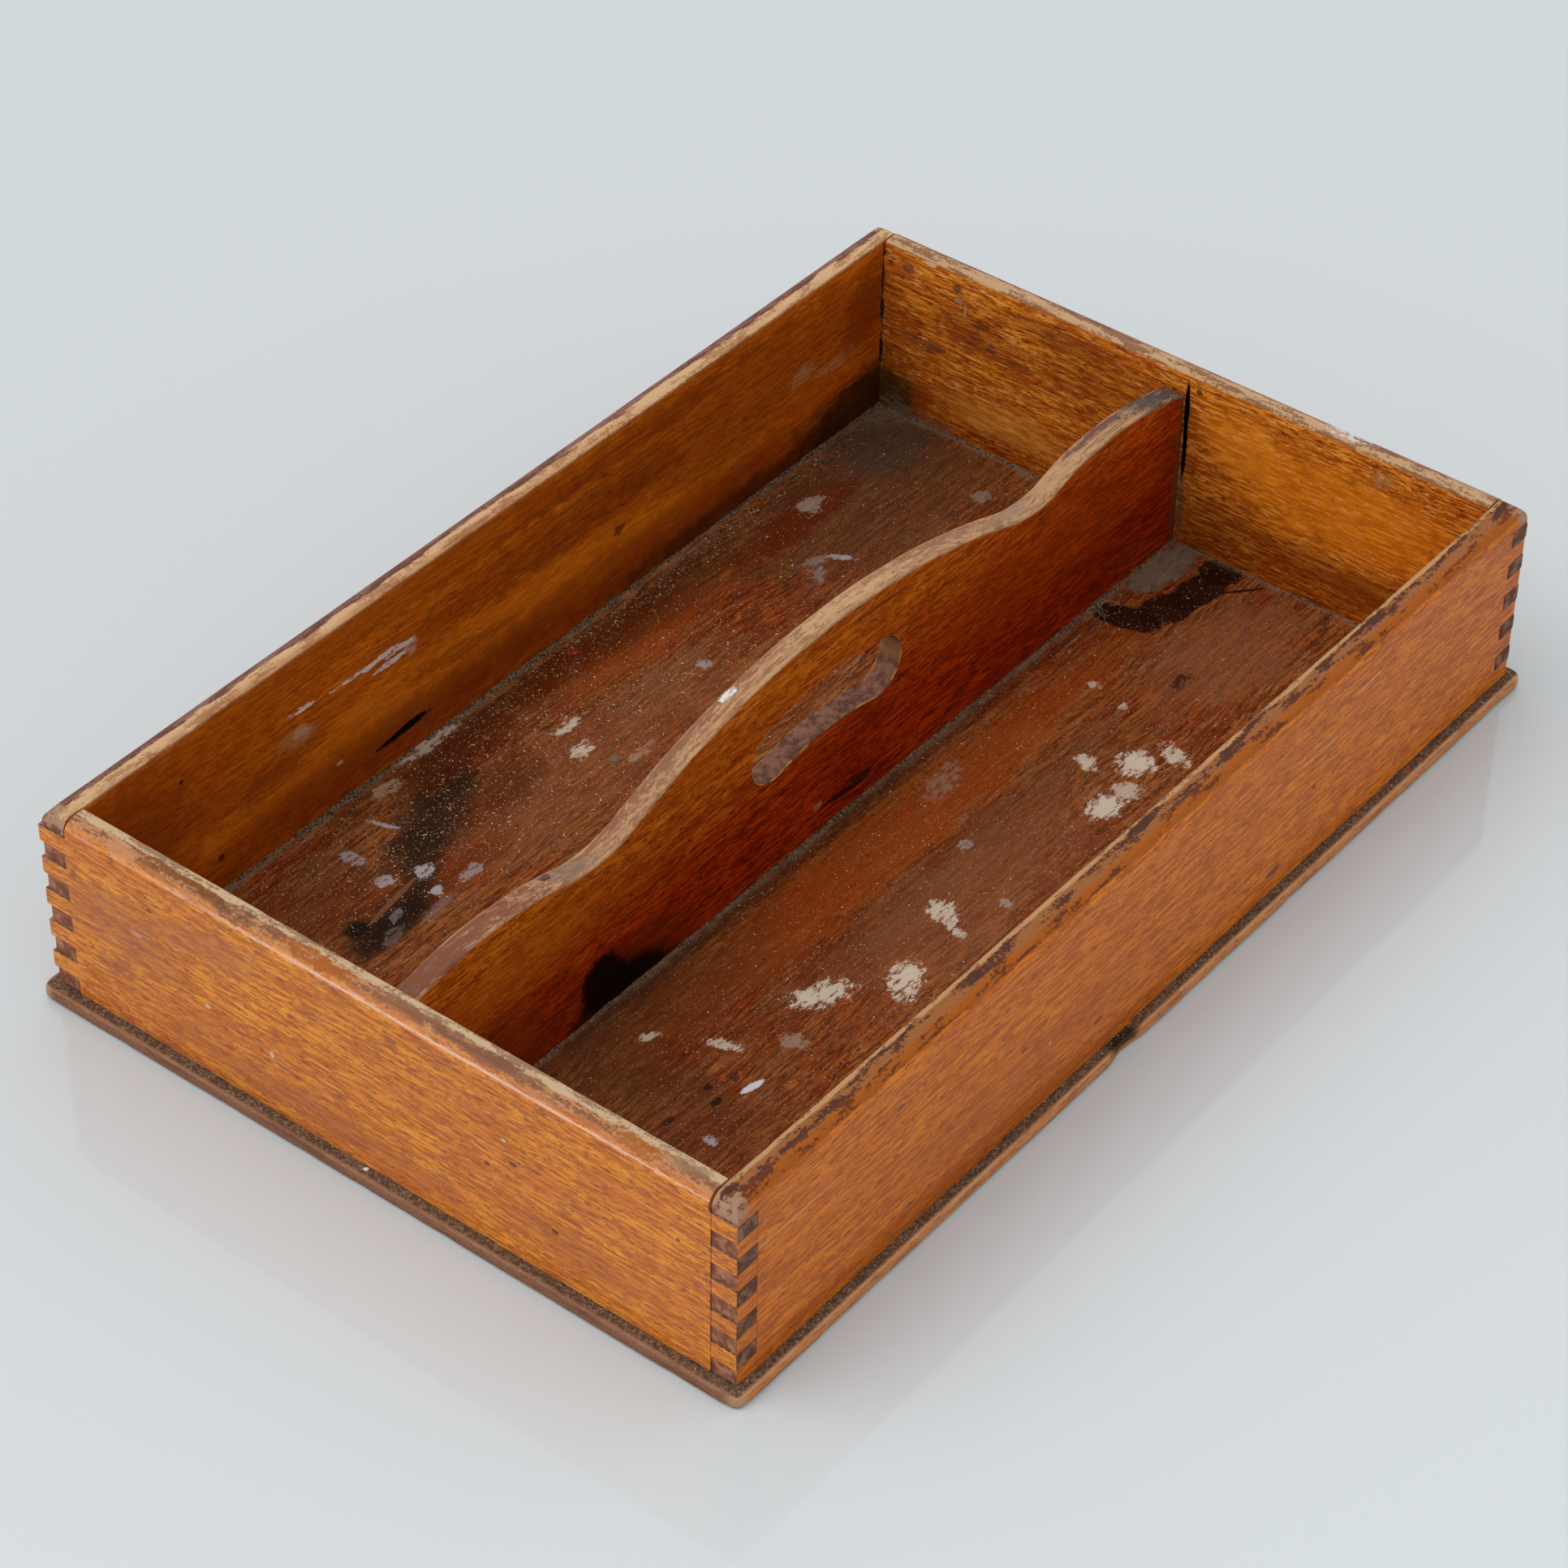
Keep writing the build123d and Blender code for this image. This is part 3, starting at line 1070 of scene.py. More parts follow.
@dataclass
class Wall:
    """What the four wall boards share: rows of fingers, a rounded rim and a nibbled inner arris."""

    layout: Layout
    seed: float
    sign: int  # side of the origin on which the board stands
    nibble: float = 0.7 * MM  # deepest nick in the inner arris
    top_round: float = 4.5 * MM
    arris_round: float = 1.0 * MM
    joint_ease: float = 0.12 * MM  # the fingers narrow by this much to their tips
    station: float = 1.6 * MM  # spacing of the mesh along the board
    worn_depth: float = 7.0 * MM  # how far down from the rim the board is worn
    worn_width: float = 3.5 * MM  # how far in from the inner face the nicks reach
    wave: float = 0.25 * MM  # how much the rim's height wavers

    def row_of(self, face: bmesh.types.BMFace) -> int:
        """Numbers the row that a face stands in, from 0 at the rim."""
        return int((self.layout.rim - face.calc_center_median().z) / self.layout.finger)

    def start(self, low: Point, high: Point) -> Mesh:
        """Starts the board as a block that is cut into the rows of its fingers.

        Args:
            low: Lowest corner.
            high: Highest corner.

        Returns:
            The mesh.
        """
        bm = bmesh.new()
        block(bm, low, high)
        saw(bm, 2, [self.layout.rim - self.layout.finger * row for row in range(1, self.layout.rows)])
        return bm

    def grow(self, bm: Mesh, axis: int, odd: int, reach: float) -> list:
        """Grows fingers out of every second row of both end faces.

        Args:
            bm: The mesh.
            axis: Along the board.
            odd: 1 for the odd rows, 0 for the even ones.
            reach: How far they grow.

        Returns:
            The faces at the fingers' tips.
        """
        end = max(v.co[axis] for v in bm.verts)
        rows = [f for f in bm.faces if abs(f.normal[axis]) > 0.9 and self.row_of(f) % 2 == odd]
        caps = [f for f in rows if near(abs(f.calc_center_median()[axis]), end)]
        tips = bmesh.ops.extrude_discrete_faces(bm, faces=caps)["faces"]
        squeeze = 1.0 - 2.0 * self.joint_ease / self.layout.finger
        for face in tips:
            face.material_index = 1
            self.push(bm, face, axis, reach)
            middle = Matrix.Translation(-face.calc_center_median())
            bmesh.ops.scale(bm, verts=face.verts, vec=(1, 1, squeeze), space=middle)
        return tips

    @staticmethod
    def push(bm: Mesh, face: bmesh.types.BMFace, axis: int, reach: float) -> None:
        """Moves a finger's tip outwards along one axis."""
        shift = [math.copysign(reach, face.normal[axis]) if i == axis else 0.0 for i in range(3)]
        bmesh.ops.translate(bm, verts=face.verts, vec=shift)

    def complete(self, name: str, bm: Mesh, axis: int, materials: Sequence[Material], slot: str) -> None:
        """Divides and wears the board, stores where its crest lies and makes it a piece.

        Args:
            name: The CAD node that the piece replaces.
            bm: The mesh.
            axis: Along the board.
            materials: Materials of its faces and of its finger tips.
            slot: Name of a material slot; not used.
        """
        layout, across = self.layout, 1 - axis
        long_edges = [e for e in bm.edges if edge_along(e, axis) and e.calc_length() > 0.15]
        cuts = int(max(e.calc_length() for e in long_edges) / self.station)
        bmesh.ops.subdivide_edges(bm, edges=long_edges, cuts=cuts, use_grid_fill=True)
        inner = layout.inner_y if axis == 0 else layout.inner_x
        crest = bm.verts.layers.float.new("crest")
        for vert in bm.verts:
            out, down = max(vert.co[across] * self.sign - inner, 0.0), layout.rim - vert.co.z
            vert[crest] = -down if out < 0.2 * self.arris_round and down > 0.3 * MM else out + down
        for vert in bm.verts:
            if layout.rim - vert.co.z <= self.worn_depth:
                self._nick(vert, across, inner)
        finish_mesh(f"{name}_board", bm, materials, (name,))

    def _nick(self, vert: bmesh.types.BMVert, across: int, inner: float) -> None:
        """Lets the rim waver and wears nicks into the inner arris.

        Args:
            vert: A vertex near the rim.
            across: The axis through the board's thickness.
            inner: Where the board's inner face stands.
        """
        fade = max(0.0, 1.0 - (self.layout.rim - vert.co.z) / self.worn_depth)
        waver = 0.5 + 0.5 * rough(vert.co, 22.0, self.seed)
        nick = max(0.0, rough(vert.co, 130.0, self.seed + 5.0) - 0.1) ** 1.5
        arris = max(0.0, 1.0 - (vert.co[across] * self.sign - inner) / self.worn_width)
        vert.co.z -= fade * (self.wave * waver + self.nibble * nick * arris)
        vert.co[across] += self.sign * arris * fade * 0.5 * self.nibble * nick


@dataclass
class EndBoard(Wall):
    """A short wall, whose fingers stand a little proud of the long sides."""

    left_proud: float = 2.0 * MM
    right_proud: float = 0.5 * MM
    tip_round: float = 1.2 * MM
    haunch_gap: float = 0.8 * MM

    def build(self, name: str, *materials: Material) -> None:
        """Builds the board.

        Args:
            name: The CAD node that it replaces.
            materials: Materials of its faces and of its finger tips.
        """
        layout, root = self.layout, self.layout.inner_y
        near_x, far_x = sorted((self.sign * layout.inner_x, self.sign * layout.outer_x))
        half = root - self.haunch_gap
        bm = self.start((near_x, -half, layout.floor), (far_x, half, layout.rim))
        for vert in stretch_out(bm, [f for f in bm.faces if abs(f.normal.y) > 0.9 and self.row_of(f) > 0]):
            vert.co.y = math.copysign(root, vert.co.y)
        bm.normal_update()
        tips = self.grow(bm, 1, 1, layout.outer_y - root)
        for face in tips:
            self.push(bm, face, 1, self.left_proud if face.normal.y > 0 else self.right_proud)
        tip_edges = {e for face in tips for e in face.edges}
        top = [e for e in bm.edges if edge_along(e, 1) and all(near(v.co.z, layout.rim) for v in e.verts)]
        inner = [e for e in top if near(abs(e.verts[0].co.x), layout.inner_x)]
        round_edges(bm, [e for e in top if near(abs(e.verts[0].co.x), layout.outer_x)], self.top_round, 8)
        round_edges(bm, inner, self.arris_round, 3)
        round_edges(bm, tip_edges, self.tip_round, 3)
        self.complete(name, bm, 1, materials, "end_board_wood")


@dataclass
class LongSide(Wall):
    """A long wall, whose top finger, the haunch, carries the rim round the corner."""

    tip_round: float = 0.35 * MM
    corner_share: float = 0.4  # how round the haunch's outer corner is at the top

    def build(self, name: str, *materials: Material) -> None:
        """Builds the board.

        Args:
            name: The CAD node that it replaces.
            materials: Materials of its faces and of its finger tips.
        """
        layout = self.layout
        low_y, high_y = sorted((self.sign * layout.inner_y, self.sign * layout.outer_y))
        bm = self.start((-layout.inner_x, low_y, layout.floor), (layout.inner_x, high_y, layout.rim))
        tip = layout.outer_x - layout.shy
        self.grow(bm, 0, 0, layout.outer_x - layout.inner_x - layout.shy)
        top = [e for e in bm.edges if all(near(v.co.z, layout.rim, 0.2 * MM) for v in e.verts)]
        for vert in {v for e in top for v in e.verts}:
            vert.co.z = layout.rim
        ends = [e for e in top if edge_along(e, 1) and abs(e.verts[0].co.x) > layout.inner_x + MM]
        outer = [e for e in top if edge_along(e, 0) and near(abs(e.verts[0].co.y), layout.outer_y)]
        round_edges(bm, outer + ends, self.top_round, 8)
        level = [e for e in bm.edges if all(near(v.co.z, layout.rim) for v in e.verts)]
        inner = [e for e in level if all(near(abs(v.co.y), layout.inner_y) for v in e.verts)]
        round_edges(bm, inner, self.arris_round, 3)
        at_tips = [e for e in bm.edges if all(near(abs(v.co.x), tip) for v in e.verts)]
        foot = layout.rim - self.top_round
        round_edges(bm, [e for e in at_tips if max(v.co.z for v in e.verts) < foot], self.tip_round, 2)
        self._round_corners(bm, tip - self.top_round, layout.outer_y - self.top_round)
        self.complete(name, bm, 0, materials, "long_side_wood")

    def _round_corners(self, bm: Mesh, start_x: float, start_y: float) -> None:
        """Rounds the mitre of the two roundings at each haunch's outer corner, less towards its foot.

        Args:
            bm: The mesh.
            start_x: Where the tips' rounding starts.
            start_y: Where the rim's rounding starts.
        """
        shares = (0.12, 0.3, 0.47, 0.63, 0.78, 0.9)
        saw(bm, 0, [end * (start_x + self.top_round * share) for end in (-1, 1) for share in shares])
        saw(bm, 1, [self.sign * (start_y + self.top_round * share) for share in shares])
        for vert in bm.verts:
            past_x, past_y = abs(vert.co.x) - start_x, abs(vert.co.y) - start_y
            down = (self.layout.rim - vert.co.z) / self.layout.finger
            if min(past_x, past_y) <= 0.0 or down > 1.0 or vert.co.y * self.sign < 0.0:
                continue
            turned = 1.0 - max(past_x, past_y) / math.hypot(past_x, past_y)
            squeeze = 1.0 - self.corner_share * (1.0 - down) * turned
            vert.co.x = math.copysign(start_x + past_x * squeeze, vert.co.x)
            vert.co.y = math.copysign(start_y + past_y * squeeze, vert.co.y)
        bm.normal_update()
        for face in bm.faces:
            if face.normal.z > 0.15 and abs(face.normal.x) < max(abs(face.normal.y), 0.45):
                face.material_index = 0


# ---- Base board -------------------------------------------------------------------------------------------


@dataclass
class BaseBoard:
    """The base board: the floor of the compartments, the ledge round the walls and the nailed underside."""

    layout: Layout
    corner: float = 4.5 * MM
    edge_round: float = 1.8 * MM
    cell: float = 4.0 * MM
    nail_head: float = 3.2 * MM
    nail_sink: float = 0.36 * MM
    worn_band: float = 2.2 * MM
    wear: float = 0.35 * MM
    nicks: float = 0.7 * MM
    chip: float = 1.3 * MM  # depth of a chipped place
    sag: float = 0.2 * MM  # how much the floor undulates
    # x, y and reach of each chipped place, mm
    damage: tuple[Point, ...] = ((-21.0, -137.8, 9.0), (-207.0, -134.0, 5.0), (150.0, 137.8, 6.0))

    def build(self, *materials: Material) -> None:
        """Builds the board.

        Args:
            materials: Materials of the left and the right floor, the ledge and the underside.
        """
        layout = self.layout
        bm = bmesh.new()
        block(bm, (-layout.base_x, -layout.base_y, 0), (layout.base_x, layout.base_y, layout.floor))
        round_edges(bm, [e for e in bm.edges if edge_along(e, 2)], self.corner, 6)
        flat = [e for e in bm.edges if near(e.verts[0].co.z, e.verts[1].co.z)]
        round_edges(bm, flat, self.edge_round, 4)
        heads = self._nail_places()
        half = self.nail_head / 2
        for axis, reach in ((0, layout.base_x), (1, layout.base_y)):
            lines = sorted({round(h[axis] + s, 6) for h in heads for s in (-half, half)})
            count = int(2 * reach / self.cell)
            regular = [reach * (2 * i / count - 1) for i in range(1, count)]
            saw(bm, axis, lines + [r for r in regular if all(abs(r - line) > 0.6 * MM for line in lines)])
        self._sink_heads(bm, heads, half)
        for vert in bm.verts:
            self._wear(vert)
        for face in bm.faces:
            face.material_index = self._part_of(face)
        finish_mesh("base_board_aged", bm, materials, ("base_board",), 40.0)

    def _part_of(self, face: bmesh.types.BMFace) -> int:
        """Tells a face's material: 0 and 1 for the floors, 2 for the ledge, 3 for the underside.

        Args:
            face: The face.

        Returns:
            The material's number.
        """
        middle = face.calc_center_median()
        if middle.z < 0.5 * MM or middle.z < MM and abs(face.normal.z) > 0.5:
            return 3
        inside = abs(middle.x) < self.layout.inner_x + MM and abs(middle.y) < self.layout.inner_y + MM
        return int(middle.y <= 0) if inside and middle.z > self.layout.floor - MM else 2

    def _nail_places(self) -> list[tuple[float, float]]:
        """Finds the middles of the square nail heads in the underside, from their corner points.

        Returns:
            X and Y of each head.
        """
        heads = []
        for node in NAIL_NODES:
            groups: list[list[Vector]] = []
            for corner in (v.co for v in bpy.data.objects[node].data.vertices if v.co.z < 0.5 * MM):
                own = next((g for g in groups if (corner - g[0]).length < 1.6 * self.nail_head), None)
                if own is None:
                    own = []
                    groups.append(own)
                own.append(corner)
            for group in groups:
                x, y = ([corner[axis] for corner in group] for axis in (0, 1))
                heads.append(((min(x) + max(x)) / 2, (min(y) + max(y)) / 2))
        return heads

    def _sink_heads(self, bm: Mesh, heads: list[tuple[float, float]], half: float) -> None:
        """Sinks a square recess round each nail head.

        Args:
            bm: The mesh.
            heads: Middles of the heads.
            half: Half a head's width.
        """
        under = [f for f in bm.faces if f.normal.z < -0.9 and f.calc_center_median().z < 0.1 * MM]
        for x, y in heads:
            middles = {f: f.calc_center_median() for f in under}
            inside = [f for f in under if abs(middles[f].x - x) < half and abs(middles[f].y - y) < half]
            bmesh.ops.translate(bm, verts=stretch_out(bm, inside), vec=(0, 0, self.nail_sink))
            under = [f for f in under if f.is_valid]

    def _wear(self, vert: bmesh.types.BMVert) -> None:
        """Wears the board's outline and lets its floor undulate.

        Args:
            vert: One of its vertices.
        """
        layout, x, y = self.layout, abs(vert.co.x), abs(vert.co.y)
        gap_x, gap_y = layout.base_x - x, layout.base_y - y
        edge = min(layout.inner_x - x, layout.inner_y - y)
        if min(gap_x, gap_y) < self.worn_band:
            cut = self.wear * (0.5 + 0.5 * rough(vert.co, 35.0, 3.0))
            cut += self.nicks * max(0.0, rough(vert.co, 120.0, 9.0) - 0.15)
            for hit_x, hit_y, reach in self.damage:
                away = (Vector((hit_x * MM, hit_y * MM)) - vert.co.xy).length / (reach * MM)
                cut += self.chip * max(0.0, 1.0 - away)
            axis = 0 if gap_x < gap_y else 1
            fade = 1.0 - min(gap_x, gap_y) / self.worn_band
            vert.co[axis] -= math.copysign(cut * fade, vert.co[axis])
        elif vert.co.z > layout.floor - 0.1 * MM and edge > 0:
            fade = min(1.0, edge / (10.0 * MM))
            vert.co.z -= fade * self.sag * (0.5 + 0.5 * rough(vert.co, 40.0, 1.0))


# ---- Divider ----------------------------------------------------------------------------------------------


@dataclass(frozen=True)
class OgeeHalf:
    """One half of the divider's top edge: stations from the middle and heights above the floor."""

    dip_station: float
    dip_height: float
    shoulder_station: float
    shoulder_height: float


def sagitta(run: float, full_run: float, full_drop: float) -> float:
    """Gives the drop of an arc that starts level, from its drop over a known run.

    Args:
        run: Distance from the level end.
        full_run: Known distance.
        full_drop: Drop over the known distance.

    Returns:
        The drop at the run.
    """
    radius = (full_run**2 + full_drop**2) / (2 * full_drop)
    return radius - math.sqrt(max(radius**2 - run**2, 0.0))


@dataclass
class Divider:
    """The carrying divider: an ogee top edge and an arched hand slot. Heights above the floor."""

    layout: Layout
    near_half: OgeeHalf = OgeeHalf(112.0 * MM, 60.5 * MM, 161.0 * MM, 67.2 * MM)
    far_half: OgeeHalf = OgeeHalf(113.5 * MM, 62.8 * MM, 151.5 * MM, 69.0 * MM)
    end_height: float = 62.2 * MM
    crown_share: float = 0.845
    dip_share: float = 0.26
    edge_round: float = 1.3 * MM
    slot_length: float = 76.2 * MM
    slot_height: float = 22.2 * MM
    slot_arch: float = 3.3 * MM
    slot_middle: float = 52.0 * MM
    slot_ease: float = 0.35 * MM
    slit_width: float = 2.0 * MM
    slit_depth: float = 32.0 * MM
    station: float = 2.0 * MM
    top_band: float = 12.0 * MM  # what lies under the top edge and follows its line whole
    lean: float = -0.7 * MM  # the top edge's shift

    def top_line(self, x: float) -> float:
        """Gives the height of the top edge at a station: arcs that meet without a kink.

        Args:
            x: The station.

        Returns:
            Height above the underside.
        """
        half = self.near_half if x < 0 else self.far_half
        dip, low = half.dip_station, half.dip_height
        shoulder, high = half.shoulder_station, half.shoulder_height
        crown = self.layout.crown - self.layout.floor
        meet_x, meet_z = dip * self.crown_share, crown + (low - crown) * self.crown_share
        rise_x, rise_z = dip + (shoulder - dip) * self.dip_share, low + (high - low) * self.dip_share
        x = abs(x)
        if x < meet_x:
            height = crown - sagitta(x, meet_x, crown - meet_z)
        elif x < dip:
            height = low + sagitta(dip - x, dip - meet_x, meet_z - low)
        elif x < rise_x:
            height = low + sagitta(x - dip, rise_x - dip, rise_z - low)
        elif x < shoulder:
            height = high - sagitta(shoulder - x, shoulder - rise_x, high - rise_z)
        else:
            height = high - sagitta(x - shoulder, self.layout.inner_x - shoulder, high - self.end_height)
        return self.layout.floor + height

    def build(self, board: Material, slot_wall: Material) -> None:
        """Builds the divider.

        Args:
            board: Material of its faces and top edge.
            slot_wall: Material inside the hand slot.
        """
        blank = link("divider_blank", store("divider_blank", self._blank(), (board,)))
        cutter = link("slot_cutter", store("slot_cutter", self._slot_cutter(), (slot_wall,)))
        cut = blank.modifiers.new("hand_slot", "BOOLEAN")
        cut.object, cut.operation, cut.solver, cut.material_mode = cutter, "DIFFERENCE", "EXACT", "TRANSFER"
        bpy.context.view_layer.update()
        bm = bmesh.new()
        shaped = blank.evaluated_get(bpy.context.evaluated_depsgraph_get())
        bm.from_mesh(bpy.data.meshes.new_from_object(shaped))
        for leftover in (blank, cutter):
            bpy.data.objects.remove(leftover)
        bmesh.ops.remove_doubles(bm, verts=bm.verts[:], dist=1e-6)
        crest, across = (bm.verts.layers.float.new(name) for name in ("crest", "across"))
        for vert in bm.verts:
            vert[crest] = self.top_line(vert.co.x) - vert.co.z
            vert[across] = vert.co.y
            self._wear(vert, vert[crest])
        finish_mesh("divider_board", bm, (board, slot_wall), ("divider",), 25.0)

    def _wear(self, vert: bmesh.types.BMVert, below: float, end_run: float = 6.0 * MM) -> None:
        """Wears the top edge, opens the slit at the far end and leans the board.

        Args:
            vert: One of its vertices.
            below: How far it lies below the top edge.
            end_run: Length of the end that draws back from the wall.
        """
        layout = self.layout
        slit_foot = layout.floor + self.end_height - self.slit_depth
        opening = self.slit_width * max(0.0, vert.co.z - slit_foot) / self.slit_depth
        last = max(0.0, (vert.co.x - layout.inner_x + end_run) / end_run)
        rise = (vert.co.z - layout.floor) / self.end_height
        wear = 0.25 * MM * (0.5 + 0.5 * rough(vert.co, 60.0, 4.0)) * max(0.0, 1.0 - below / (3.0 * MM))
        vert.co.x -= opening * last
        vert.co.y += self.lean * rise
        vert.co.z -= wear

    def _blank(self) -> Mesh:
        """Shapes the board without its slot.

        Returns:
            Its mesh.
        """
        layout, half = self.layout, self.layout.divider_half
        bm = bmesh.new()
        block(bm, (-layout.inner_x, -half, layout.floor), (layout.inner_x, half, layout.crown))
        count = int(2 * layout.inner_x / self.station)
        saw(bm, 0, (layout.inner_x * (2 * i / count - 1) for i in range(1, count)))
        saw(bm, 2, (layout.crown - self.top_band * share for share in (0.25, 0.5, 1.0)))
        for vert in bm.verts:
            share = min(1.0, (vert.co.z - layout.floor) / (layout.crown - self.top_band - layout.floor))
            vert.co.z -= share * (layout.crown - self.top_line(vert.co.x))
        top = [e for e in bm.edges if all(near(v.co.z, self.top_line(v.co.x), 1e-4) for v in e.verts)]
        along = [e for e in top if abs(e.verts[0].co.x - e.verts[1].co.x) > 1e-4]
        round_edges(bm, along, self.edge_round, 4)
        bmesh.ops.recalc_face_normals(bm, faces=bm.faces[:])
        return bm

    def _slot_cutter(self) -> Mesh:
        """Makes the body that the hand slot leaves: rings bridged from face to face, flared at the arrises.

        Returns:
            Its mesh.
        """
        half, ease = self.layout.divider_half, self.slot_ease
        levels = [(half + MM, ease + MM), (half, ease), (half - 0.35 * ease, 0.35 * ease), (half - ease, 0.0)]
        bm = bmesh.new()
        rings = []
        for y, grow in [(-y, grow) for y, grow in levels] + levels[::-1]:
            verts = [bm.verts.new((x, y, z)) for x, z in self._slot_outline(grow)]
            rings.append([bm.edges.new((verts[i - 1], verts[i])) for i in range(len(verts))])
        for first, second in zip(rings, rings[1:]):
            bmesh.ops.bridge_loops(bm, edges=first + second)
        for ring in (rings[0], rings[-1]):
            bmesh.ops.contextual_create(bm, geom=ring)
        bmesh.ops.recalc_face_normals(bm, faces=bm.faces[:])
        return bm

    def _slot_outline(self, grow: float, steps: int = 20) -> list[tuple[float, float]]:
        """Gives the slot's outline: a round-ended band along a shallow arch.

        Args:
            grow: How far the outline lies outside the slot.
            steps: Points on each round end and along each half of an arch.

        Returns:
            X and Z of each point.
        """
        radius = self.slot_height / 2 + grow
        run = (self.slot_length - self.slot_height) / 2
        arch_radius = (run**2 + self.slot_arch**2) / (2 * self.slot_arch)
        centre_z = self.layout.floor + self.slot_middle - arch_radius
        spread = math.asin(run / arch_radius)

        def on_arch(angle: float, reach: float) -> tuple[float, float]:
            """Gives a point at an angle from the upright and a distance from the arch's centre."""
            return reach * math.sin(angle), centre_z + reach * math.cos(angle)

        def round_end(sign: int) -> list[tuple[float, float]]:
            """Gives the points round one end.

            Args:
                sign: 1 for the far end, -1 for the near one.

            Returns:
                X and Z of each point.
            """
            (mid_x, mid_z), start = on_arch(sign * spread, arch_radius), sign * spread
            angles = [start + math.pi * i / steps + (math.pi if sign < 0 else 0.0) for i in range(steps)]
            return [(mid_x + radius * math.sin(angle), mid_z + radius * math.cos(angle)) for angle in angles]

        roof = [on_arch(spread * (i / steps - 1), arch_radius + radius) for i in range(2 * steps)]
        sill = [on_arch(spread * (1 - i / steps), arch_radius - radius) for i in range(2 * steps)]
        return roof + round_end(1) + sill + round_end(-1)


# ---- Dirt -------------------------------------------------------------------------------------------------


@dataclass(frozen=True)
class Join:
    """A corner between two boards in which grit lies, from a start to an end point."""

    start: Point
    end: Point
    out: Point  # away from the one board
    up: Point  # away from the other
    reach: float  # mm, along out
    climb: float  # mm, along up
    seed: float
    sunk: float = 0.15  # mm, into both boards

    def add_ridge(self, bm: Mesh, station: float) -> None:
        """Adds a lumpy three-cornered ridge of grit along the join.

        Args:
            bm: The mesh.
            station: Spacing of the ridge's cross sections.
        """
        start, span = Vector(self.start), Vector(self.end) - Vector(self.start)
        beam = bmesh.new()
        bmesh.ops.create_cube(beam, size=1.0)
        edges = [e for e in beam.edges if edge_along(e, 0)]
        bmesh.ops.subdivide_edges(beam, edges=edges, cuts=int(span.length / station), use_grid_fill=True)
        for vert in beam.verts:
            outer, upper = vert.co.y > 0, vert.co.z > 0
            centre = start + span * (vert.co.x + 0.5)
            lump = 0.5 + 0.6 * rough(centre, 160.0, self.seed) + 0.5 * rough(centre, 600.0, self.seed + 3.0)
            lump = max(0.05, lump + 0.7 * rough(centre, 28.0, self.seed + 8.0))
            if outer and upper:
                out, up = 0.42 * self.reach * lump, 0.4 * self.climb * lump
            else:
                out = self.reach * lump if outer else -self.sunk
                up = self.climb * lump if upper else -self.sunk
            vert.co = centre + (Vector(self.out) * out + Vector(self.up) * up) * MM
        bmesh.ops.recalc_face_normals(beam, faces=beam.faces[:])
        pour(beam, bm)


